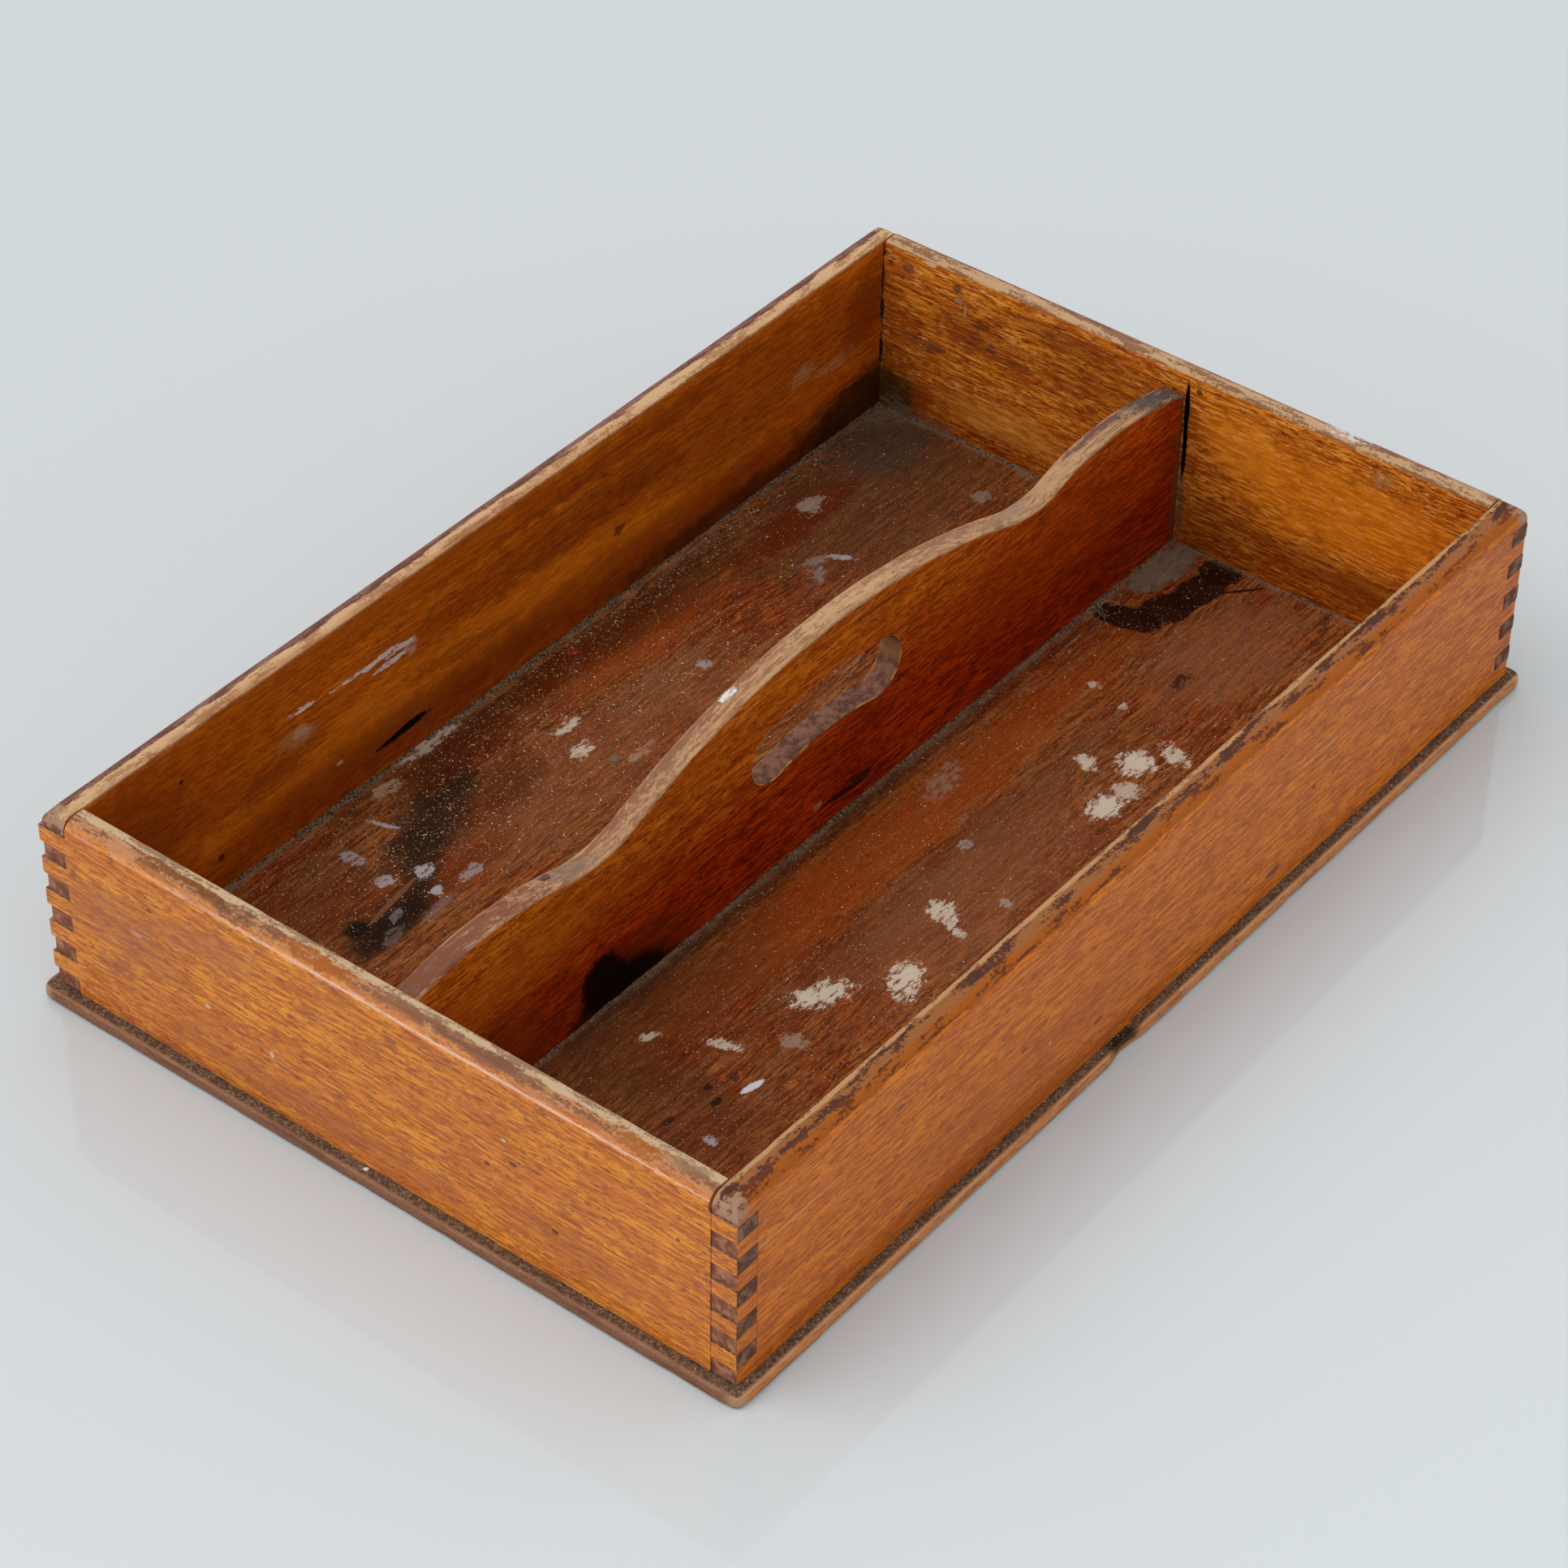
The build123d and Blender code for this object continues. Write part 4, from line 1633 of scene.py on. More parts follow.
@dataclass
class Dirt:
    """Grit packed into the joins, crumbs on the ledge, sawdust on the floors and a wisp of lint."""

    layout: Layout
    seed: int = 7
    station: float = 0.9 * MM
    batch: int = 150  # grains made at a time

    def finish(self, name: str, bm: Mesh, material: Material, crease: float = 80.0) -> None:
        """Makes a piece of loose dirt on the base board."""
        finish_mesh(name, bm, (material,), crease=crease)

    def pack(self, name: str, joins: Iterable[Join], material: Material) -> None:
        """Builds one piece of grit from a ridge in each join.

        Args:
            name: The piece's name.
            joins: Where it lies.
            material: The grit.
        """
        bm = bmesh.new()
        for join in joins:
            join.add_ridge(bm, self.station)
        self.finish(name, bm, material)

    def inner_joins(self) -> Iterable[Join]:
        """Gives the joins along the edges of both floors.

        Yields:
            Each join.
        """
        x, y, z, half = self.layout.inner_x, self.layout.inner_y, self.layout.floor, self.layout.divider_half
        up = (0, 0, 1)
        for sign, seed in ((1, 1.0), (-1, 6.0)):
            foot, inner_foot = sign * y, sign * half
            yield Join((-x, foot, z), (x, foot, z), (0, -sign, 0), up, 2.9, 1.1, seed)
            yield Join((-x, inner_foot, z), (x, inner_foot, z), (0, sign, 0), up, 1.7, 0.8, seed + 1)
            low, high = sorted((inner_foot, foot))
            for end, reach in ((1, 1.9), (-1, 1.3)):
                yield Join((end * x, low, z), (end * x, high, z), (-end, 0, 0), up, reach, 0.9, seed + 2)

    def corner_joins(self) -> Iterable[Join]:
        """Gives the joins up the inner corners.

        Yields:
            Each join.
        """
        x, y = self.layout.inner_x, self.layout.inner_y
        top = self.layout.rim - 1.5 * MM
        for index, (end, sign) in enumerate(((1, 1), (1, -1), (-1, 1), (-1, -1))):
            foot, head = (end * x, sign * y, self.layout.floor), (end * x, sign * y, top)
            size = 1.3 if index == 0 else 0.5
            yield Join(foot, head, (-end, 0, 0), (0, -sign, 0), size, size, 20.0 + index)

    def ledge_joins(self) -> Iterable[Join]:
        """Gives the joins between the walls and the ledge.

        Yields:
            Each join.
        """
        x, y, z = self.layout.outer_x, self.layout.outer_y, self.layout.floor
        up, reach, climb = (0, 0, 1), 1.0, 0.55
        for sign in (1, -1):
            yield Join((-x, sign * y, z), (x, sign * y, z), (0, sign, 0), up, reach, climb, 30.0 + sign)
            yield Join((sign * x, -y, z), (sign * x, y, z), (sign, 0, 0), up, reach, climb, 40.0 + sign)

    def grains(
        self, name: str, material: Material, count: int, place: Callable, sizes: Point, stretch: float
    ) -> None:
        """Scatters small grains or chips.

        Args:
            name: The piece's name.
            material: Its material.
            count: How many tries.
            place: Draws a place, or None for a miss.
            sizes: Smallest and largest size and flatness, mm, mm and a share.
            stretch: Largest length over width.
        """
        draw = random.Random(self.seed * 1000 + count)
        bm = bmesh.new()
        bm.verts.layers.float.new("tint")
        spots = [spot for spot in (place(draw) for _ in range(count)) if spot is not None]
        for first in range(0, len(spots), self.batch):
            handful = bmesh.new()
            handful.verts.layers.float.new("tint")
            for spot in spots[first : first + self.batch]:
                self._grain(handful, spot, draw, sizes, stretch)
            pour(handful, bm)
        self.finish(name, bm, material, 30.0)

    @staticmethod
    def _grain(bm: Mesh, spot: Vector, draw: random.Random, sizes: Point, stretch: float) -> None:
        """Makes one grain or chip.

        Args:
            bm: The mesh.
            spot: Where it lies.
            draw: The random source.
            sizes: Smallest and largest size and flatness.
            stretch: Largest length over width.
        """
        smallest, largest, flatness = sizes
        width = MM * (smallest + (largest - smallest) * draw.random() ** 3)
        length = width * (1.0 + (stretch - 1.0) * draw.random() ** 2)
        height = width * flatness
        turn = Matrix.Rotation(draw.uniform(0, math.pi), 4, "Z")
        turn = turn @ Matrix.Rotation(draw.uniform(-0.25, 0.25), 4, "X")
        size = Matrix.Diagonal((length, width, height, 1.0))
        matrix = Matrix.Translation(spot + Vector((0, 0, 0.3 * height))) @ turn @ size
        shade = draw.random()
        if draw.random() < 0.5:
            made = bmesh.ops.create_cube(bm, size=1.0, matrix=matrix)["verts"]
        else:
            made = bmesh.ops.create_icosphere(bm, subdivisions=1, radius=0.5, matrix=matrix)["verts"]
        tint = bm.verts.layers.float["tint"]
        for vert in made:
            vert[tint] = shade

    def on_floor(self, sign: int, clouds: Sequence[tuple[float, float, float, float]]) -> Callable:
        """Makes a rule that drops grains on one compartment's floor.

        Args:
            sign: 1 for the left compartment, -1 for the right one.
            clouds: X, Y and spreads of each cloud of grains, mm; a spread of 0 means the whole floor.

        Returns:
            The rule.
        """
        layout = self.layout
        low, high = layout.divider_half + 1.5 * MM, layout.inner_y - MM

        def place(draw: random.Random) -> Vector | None:
            """Draws a place in one of the clouds.

            Args:
                draw: The random source.

            Returns:
                The place, or None where it lies outside the floor.
            """
            x, y, spread_x, spread_y = draw.choice(clouds)
            if spread_x > 0:
                x, y = draw.gauss(x, spread_x) * MM, draw.gauss(y, spread_y) * MM
            else:
                y = sign * draw.uniform(layout.divider_half, layout.inner_y)
                x = draw.uniform(-layout.inner_x, layout.inner_x)
            spot = Vector((x, y, layout.floor - 0.1 * MM))
            return spot if low < spot.y * sign < high and abs(spot.x) <= layout.inner_x - MM else None

        return place

    def on_ledge(self, draw: random.Random) -> Vector:
        """Draws a place on the ledge.

        Args:
            draw: The random source.

        Returns:
            The place.
        """
        layout = self.layout
        out, level = draw.uniform(0.2, 2.6) * MM, layout.floor - 0.05 * MM
        if draw.random() < 0.4:
            y = draw.uniform(-layout.outer_y, layout.outer_y)
            return Vector((draw.choice((-1, 1)) * (layout.outer_x + out), y, level))
        x = draw.uniform(-layout.outer_x, layout.outer_x)
        return Vector((x, draw.choice((-1, 1)) * (layout.outer_y + out), level))

    def lint(self, material: Material, fibres: int = 16) -> None:
        """Builds a wisp of pale fibres at the divider's far foot.

        Args:
            material: The fibre.
            fibres: How many there are.
        """
        draw = random.Random(self.seed)
        curve = bpy.data.curves.new("lint", "CURVE")
        curve.dimensions = "3D"
        curve.bevel_depth, curve.bevel_resolution, curve.resolution_u = 0.07 * MM, 0, 3
        for _ in range(fibres):
            spline = curve.splines.new("NURBS")
            start = Vector((draw.gauss(148, 2.6), draw.gauss(-8.5, 1.4), 5.3))
            heading = draw.uniform(0, 2 * math.pi)
            spline.points.add(5)
            for index, point in enumerate(spline.points):
                heading += draw.uniform(-1.1, 1.1)
                start = start + Vector((math.cos(heading), math.sin(heading), 0)) * draw.uniform(0.8, 1.9)
                rise = 0.2 + 1.1 * draw.random() * (index not in (0, 5))
                point.co = (*(Vector((start.x, min(start.y, -5.2), 5.0 + rise)) * MM), 1.0)
            spline.order_u, spline.use_endpoint_u = 4, True
        flat = link("lint_curve", curve)
        bm = bmesh.new()
        bm.from_mesh(bpy.data.meshes.new_from_object(flat))
        bpy.data.objects.remove(flat)
        bmesh.ops.holes_fill(bm, edges=bm.edges[:], sides=8)
        self.finish("lint", bm, material)


# ---- Studio -----------------------------------------------------------------------------------------------


@dataclass
class Studio:
    """Pale table, soft light from the upper left, and the camera."""

    floor_colour: Colour = (0.58, 0.615, 0.625)
    floor_reach: float = 6.0
    world_colour: Colour = (0.96, 0.98, 1.0)
    world_strength: float = 0.9
    key_strength: float = 0.86
    key_spread: float = 45.0  # degrees across
    key_from: Point = (-0.55, 0.45, 1.0)
    camera_place: Point = (-892.25, -675.58, 963.34)  # mm
    camera_right: Point = (0.618846, -0.785411, 0.012604)
    camera_up: Point = (0.500229, 0.406413, 0.764591)
    lens: float = 105.21  # mm on a 36 mm sensor

    def build(self) -> None:
        """Builds floor, light and camera."""
        self._floor()
        self._light()
        self._camera()

    def _floor(self) -> None:
        """Lays the glossy pale table top, with painted light that makes it a little lighter towards the
        camera.
        """
        graph = Surface("table_top")
        x, y, _ = graph.split(graph.vector)
        # painted light: the table is lighter towards the camera
        towards = graph.step(graph.plus(x, y), 0.3, -0.5)
        colour = graph.mix(towards, self.floor_colour, tuple(1.09 * c for c in self.floor_colour))
        graph.principled(Base_Color=colour, Roughness=0.06, IOR=1.5)
        bm = bmesh.new()
        bmesh.ops.create_circle(bm, cap_ends=True, segments=96, radius=self.floor_reach)
        floor = link("table_top", store("table_top", bm, (graph.material,)))

    def _light(self) -> None:
        """Sets the even surround and the broad key light."""
        world = bpy.data.worlds.new("studio")
        world.use_nodes = True
        background = world.node_tree.nodes["Background"]
        background.inputs["Color"].default_value = (*self.world_colour, 1.0)
        background.inputs["Strength"].default_value = self.world_strength
        bpy.context.scene.world = world
        key = bpy.data.lights.new("key", "SUN")
        key.energy, key.angle = self.key_strength, math.radians(self.key_spread)
        link("key", key).rotation_euler = Vector(self.key_from).to_track_quat("Z", "Y").to_euler()

    def _camera(self) -> None:
        """Places the camera."""
        data = bpy.data.cameras.new("camera")
        data.lens, data.sensor_width, data.clip_end = self.lens, 36.0, 20.0
        camera = link("camera", data)
        right, up = Vector(self.camera_right), Vector(self.camera_up)
        turn = Matrix((right, up, right.cross(up))).transposed().to_4x4()
        camera.matrix_world = Matrix.Translation(Vector(self.camera_place) * MM) @ turn
        bpy.context.scene.camera = camera


# ---- This box's finishes ----------------------------------------------------------------------------------

CREAM: Colour = (0.62, 0.52, 0.4)
INK: Colour = (0.01, 0.005, 0.004)
BLACK: Colour = (0.003, 0.001, 0.001)
PURPLE: Colour = (0.14, 0.045, 0.045)
BLUE_WHITE: Colour = (0.44, 0.42, 0.43)
PAINT: Colour = (0.66, 0.64, 0.68)
PALE_WOOD: Colour = (0.66, 0.42, 0.22)
PALE_SMEAR: Colour = (0.66, 0.6, 0.56)
GREY_BROWN: Colour = (0.15, 0.075, 0.055)
AMBER: Colour = (0.34, 0.085, 0.002)
STAIN: Colour = (0.022, 0.005, 0.002)
SMUDGE: Colour = (0.028, 0.013, 0.006)
RED_FLOOR: Colour = (0.32, 0.055, 0.003)
DUSTY_FLOOR: Colour = (0.24, 0.085, 0.034)
SOAKED, CRISP, SPLASHED, CLEAN = Outline.SOAKED, Outline.CRISP, Outline.SPLASHED, Outline.CLEAN
NEAR_FACE = Face(0, -206.4)
RIGHT_FACE = Face(1, -133.4)
FAR_FACE = Face(0, 197.4)
LEFT_FACE = Face(1, 124.0)
DIVIDER_FACE = Face(1, -4.3)
DIVIDER_TOP = Face(2, 76.0, 30.0)
FLOOR_FACE = Face(2, 5.0, 1.0)

HAUNCH_WEAR = tuple(
    Mark((203.5 * end, 131.0 * side, 72.5), (3.6, 3.6, 5.0), colour, 0.85, 45.0 * end * side, SPLASHED)
    for end in (-1, 1)
    for side in (-1, 1)
    for colour in (GREY_BROWN, (0.4, 0.24, 0.15))
)
NEAR_MARKS = (
    *NEAR_FACE.marks(
        SOAKED,
        (100, 44, 22, 12, (0.4, 0.12, 0.06), 0.45, 12),
        (66, 57, 22, 6, (0.44, 0.14, 0.06), 0.4, -8),
    ),
    *NEAR_FACE.marks(SPLASHED, (106, 28, 8, 4, (0.3, 0.09, 0.05), 0.55)),
    *NEAR_FACE.marks(
        SOAKED,
        (30, 15, 60, 5, (0.4, 0.11, 0.04), 0.5),
        (-70, 22, 30, 7, (0.42, 0.11, 0.035), 0.4, 4),
    ),
    # painted highlight: the pale pink line along the near rim's rounding
    Mark((-206.2, -30, 72), (3, 96, 0.8), (0.85, 0.5, 0.34), 0.35, outline=SPLASHED),
    Mark((-206.2, -34, 72.1), (3, 92, 0.35), (0.9, 0.62, 0.48), 0.5),
    Mark((-206.2, 60, 72.2), (3, 66, 0.7), (0.8, 0.46, 0.3), 0.35, outline=SPLASHED),
    *NEAR_FACE.marks(CRISP, (-124.2, 40, 0.3, 36, (0.09, 0.03, 0.02), 0.6)),
    Mark((-201.5, 0, 75.6), (1.6, 40, 1.6), (0.3, 0.15, 0.09), 0.4, outline=SPLASHED),
    Mark((-201.4, -112, 75.8), (2.6, 15, 2), (0.27, 0.15, 0.08), 0.75, outline=SPLASHED),
    Mark((-203, 24.5, 74.6), (2.6, 13, 2), AMBER, 0.9, outline=SPLASHED),
    Mark((-203, -96, 74.6), (2.6, 9, 2), AMBER, 0.85, outline=SPLASHED),
    Mark((-202.4, 78, 75.4), (1.6, 17, 2), (0.2, 0.055, 0.004), 0.85, outline=SPLASHED),
    Mark((-203.5, 56, 74.6), (2.6, 9, 2), (0.15, 0.055, 0.025), 0.8, outline=SPLASHED),
    Mark((-203, -40, 75), (2.2, 24, 2), (0.18, 0.075, 0.04), 0.7, outline=SPLASHED),
    *NEAR_FACE.marks(SOAKED, (-6.2, 62.1, 2.6, 2, PURPLE, 0.5)),
    *NEAR_FACE.marks(
        CRISP,
        (67.9, 33, 1.1, 0.7, CREAM, 0.85),
        (42.3, 28.3, 0.8, 1.2, CREAM, 0.85),
        (96, 45.9, 2.4, 0.9, (0.6, 0.3, 0.2), 0.85),
        (-48.7, 49.5, 0.9, 0.6, CREAM, 0.85),
        (89.6, 58.9, 1, 0.8, PURPLE, 0.85),
        (-67.3, 24.5, 1.4, 0.9, INK, 0.7),
        (-42.1, 36.3, 1, 0.8, PURPLE, 0.85),
        (-52, 41.9, 1.5, 0.8, PURPLE, 0.85),
        (-112.4, 50.4, 0.7, 0.7, PURPLE, 0.85),
    ),
)
RIGHT_MARKS = (
    *HAUNCH_WEAR,
    *RIGHT_FACE.marks(
        CRISP,
        (-197.2, 40, 0.25, 36, (0.09, 0.03, 0.02), 0.4),
        (64.2, 13.3, 4, 1.2, PURPLE, 0.8),
        (-132.2, 58, 2, 0.7, PURPLE, 0.8),
        (-120.8, 59, 1.6, 0.6, PURPLE, 0.8),
        (-70.9, 35.3, 1.6, 0.9, PURPLE, 0.8),
        (-31.7, 18.9, 2.2, 0.9, PURPLE, 0.8),
        (84.5, 35.1, 0.9, 0.9, INK, 0.6),
        (-57.2, 28.2, 0.7, 0.7, CREAM, 0.8),
        (111.8, 59.7, 9, 0.35, PALE_WOOD, 0.7),
        (88.9, 47.8, 14, 0.3, PALE_WOOD, 0.6),
        (-182, 52.5, 20, 0.35, PALE_WOOD, 0.5),
    ),
    *RIGHT_FACE.marks(
        SOAKED,
        (-90, 9, 100, 5, (0.3, 0.06, 0.008), 0.5),
        (-60, 26, 70, 9, (0.38, 0.09, 0.02), 0.35),
    ),
)
FAR_MARKS = (
    *FAR_FACE.marks(
        SOAKED,
        (70, 20, 26, 7, (0.8, 0.34, 0.06), 0.35),
        (-50, 21, 46, 7, (0.2, 0.042, 0.006), 0.4),
        (-85, 18, 26, 7, (0.24, 0.05, 0.004), 0.5),
        (-70, 46, 44, 17, (1.0, 0.3, 0.01), 0.42),
        (-28, 56, 16, 12, (0.9, 0.3, 0.02), 0.4),
        (34, 56, 22, 12, (0.16, 0.034, 0.004), 0.32),
        (80, 52, 18, 8, (0.2, 0.035, 0.008), 0.45),
        (50, 66, 30, 4, (0.2, 0.04, 0.01), 0.45),
        # painted shade: dark patch low in the far left inner corner
        (119, 10, 12, 12, (0.04, 0.025, 0.01), 0.8),
    ),
    *FAR_FACE.marks(
        SPLASHED,
        (112, 5, 20, 5, (0.2, 0.15, 0.1), 0.6),
        (-6, 20, 1.2, 18, (0.14, 0.085, 0.05), 0.7),
    ),
    *FAR_FACE.marks(
        CRISP,
        # painted shade: a dark dot for an old nail hole that is not modelled
        (-9.9, 69.3, 1.2, 1.1, INK, 0.8),
        # painted shade: two black strokes for the dark slit beside the divider's far end
        (-5.6, 60, 1, 12, (0.002, 0.001, 0.001), 1),
        (-5.8, 44, 0.9, 12, (0.002, 0.001, 0.001), 1),
    ),
    *FAR_FACE.marks(
        SPLASHED,
        (103, 73, 2.4, 0.9, CREAM, 0.8),
        (91, 63, 1.6, 1.6, (0.4, 0.24, 0.15), 0.7),
        (88, 60, 0.5, 3, (0.5, 0.36, 0.26), 0.5),
    ),
    *FAR_FACE.marks(
        SOAKED,
        (-82, 66.3, 1.6, 4, (0.46, 0.28, 0.14), 0.4),
        (-85.5, 67, 1.4, 3, (0.46, 0.28, 0.14), 0.35),
    ),
    *FAR_FACE.marks(
        SPLASHED,
        (113, 68, 2.4, 2.2, (0.16, 0.06, 0.035), 0.6),
        (92, 68, 1.5, 1.5, (0.1, 0.05, 0.05), 0.8),
        (81, 57, 4, 2.2, (0.14, 0.03, 0.01), 0.7),
        (83, 50, 3, 4, (0.2, 0.04, 0.012), 0.6),
        (63, 47, 6, 1.6, (0.16, 0.035, 0.012), 0.6),
        (76, 49.5, 2.2, 1.6, (0.1, 0.05, 0.045), 0.8),
        (33, 43, 3, 1.6, (0.16, 0.035, 0.012), 0.7),
        (105, 39, 9, 2.6, (0.14, 0.05, 0.025), 0.7),
        (106, 14, 5, 7, (0.3, 0.05, 0.004), 0.7),
    ),
    Mark((204.5, -66, 73.6), (5, 9, 1.5), (0.6, 0.6, 0.62), 0.9, outline=SPLASHED),
)
LEFT_MARKS = (
    *HAUNCH_WEAR,
    *LEFT_FACE.marks(
        SOAKED,
        (-20, 29, 150, 11, (0.8, 0.24, 0.012), 0.28),
        (-178, 45, 26, 28, (0.15, 0.022, 0.002), 0.6),
        (-125, 44, 34, 16, (0.2, 0.032, 0.002), 0.35),
        (-60, 69, 150, 8, (0.24, 0.045, 0.003), 0.5),
        (10, 50, 70, 9, (0.12, 0.02, 0.002), 0.42),
        (120, 54, 90, 20, (0.14, 0.022, 0.002), 0.42),
        (186, 50, 10, 14, (0.2, 0.03, 0.003), 0.6),
        (-60, 17, 80, 9, (0.18, 0.028, 0.003), 0.55),
        (60, 18, 90, 9, (0.2, 0.032, 0.003), 0.5),
        # painted shade: darker along the foot of the wall and into the far left corner
        (110, 8, 60, 5, (0.03, 0.01, 0.004), 0.7),
        (186, 12, 34, 12, (0.016, 0.008, 0.004), 0.85),
        (35, 63, 70, 1.6, (0.16, 0.028, 0.004), 0.5),
        (80, 66.5, 60, 1, (0.16, 0.028, 0.004), 0.4),
    ),
    *LEFT_FACE.marks(
        SPLASHED,
        (-30, 31, 26, 3, (0.14, 0.022, 0.002), 0.45, 5),
        (-120, 34, 22, 5, (0.12, 0.018, 0.002), 0.4, -6),
        (40, 44, 50, 4, (0.13, 0.02, 0.002), 0.35, -2),
        (100, 33, 40, 4, (0.12, 0.02, 0.002), 0.35, 3),
    ),
    *LEFT_FACE.marks(CRISP, (-58, 15.4, 12.5, 1.3, BLACK, 1, -3)),
    *LEFT_FACE.marks(CLEAN, (-55, 15.8, 8, 1.6, BLACK, 1, -3)),
    *LEFT_FACE.marks(
        SPLASHED,
        (-102.5, 52.6, 6, 0.9, PALE_SMEAR, 1, 4),
        (-80, 50.8, 7, 0.9, PALE_SMEAR, 1, 3),
        (-67, 50.6, 9, 1, PALE_SMEAR, 0.95, -2),
        (-57, 49.4, 7, 1, PALE_SMEAR, 0.85),
        (-62, 46.3, 6.5, 1.1, PALE_SMEAR, 0.95),
        (-52.5, 46.5, 3, 3.4, PALE_SMEAR, 0.3),
    ),
    *LEFT_FACE.marks(SOAKED, (-106, 43.2, 9, 3, (0.46, 0.24, 0.1), 0.4, 8)),
    *LEFT_FACE.marks(SPLASHED, (-104, 44, 4, 2.4, (0.5, 0.32, 0.18), 0.6, 30)),
    *LEFT_FACE.marks(CRISP, (-88, 21, 1.5, 0.9, (0.5, 0.34, 0.19), 0.8)),
    *LEFT_FACE.marks(SPLASHED, (52, 33, 3, 2, (0.1, 0.02, 0.003), 0.8)),
    *LEFT_FACE.marks(
        CLEAN,
        (-157, 58, 0.9, 0.9, (0.03, 0.01, 0.004), 0.9),
        (-143, 18, 1.3, 1.3, (0.03, 0.01, 0.004), 0.8),
    ),
    *LEFT_FACE.marks(
        SPLASHED,
        (152, 42, 7, 3, (0.42, 0.25, 0.12), 0.5),
        (171, 37, 10, 2.4, (0.4, 0.23, 0.1), 0.5),
    ),
)
DIVIDER_MARKS = (
    *DIVIDER_FACE.marks(
        SOAKED,
        (125, 46, 75, 17, (0.4, 0.1, 0.004), 0.2),
        (-150, 48, 40, 9, (0.55, 0.15, 0.006), 0.3),
        (-168, 17, 34, 17, (0.18, 0.036, 0.003), 0.55),
        (150, 22, 50, 12, (0.12, 0.012, 0.001), 0.3),
        (-98, 13, 30, 13, (0.1, 0.014, 0.001), 0.7),
        (-106, 9, 17, 9, BLACK, 0.97),
    ),
    *DIVIDER_FACE.marks(CRISP, (-111, 18, 9, 9, BLACK, 0.97, 20)),
    *DIVIDER_FACE.marks(SOAKED, (-92, 8, 16, 6.5, BLACK, 0.9, 14)),
    *DIVIDER_FACE.marks(SPLASHED, (-84, 5, 10, 3, BLACK, 0.8)),
    *DIVIDER_FACE.marks(CRISP, (11, 12.8, 12, 1.3, INK, 0.9, 7)),
    *DIVIDER_FACE.marks(SOAKED, (18, 14.4, 7, 1.5, INK, 0.8, 12)),
    *DIVIDER_FACE.marks(
        CRISP,
        (-3.7, 16, 2.4, 1.3, (0.3, 0.17, 0.09), 0.85),
        (38, 43.6, 1.8, 0.8, INK, 0.8),
        (24, 80, 16, 0.8, (0.1, 0.02, 0.004), 0.6, 4),
    ),
    *DIVIDER_FACE.marks(SPLASHED, (195.5, 34, 1.8, 40, (0.12, 0.075, 0.04), 0.7)),
)
TOP_MARKS = (
    *DIVIDER_TOP.marks(
        SPLASHED,
        (-171, 0, 34, 9, (0.2, 0.066, 0.036), 0.92),
        (-120, 0.5, 9.5, 4.4, (0.2, 0.13, 0.1), 0.7),
        (-130, 1.5, 2.4, 1.6, (0.05, 0.02, 0.02), 0.9),
        (-66, 1.6, 50, 1.9, (0.24, 0.1, 0.055), 0.85),
        (15, -0.5, 30, 3.2, (0.56, 0.34, 0.17), 0.7),
        (62, 1, 40, 1.6, (0.26, 0.12, 0.06), 0.8),
        (104, 0, 9, 3.5, (0.3, 0.2, 0.13), 0.7),
        (126, 0, 13, 3.5, (0.46, 0.27, 0.13), 0.7),
        (152, 1.2, 18, 1.6, (0.14, 0.06, 0.045), 0.9),
        (186, 0.5, 20, 5, (0.07, 0.05, 0.045), 0.9),
        (-43, 1.2, 3.4, 1.3, (0.72, 0.7, 0.66), 0.95),
    ),
)
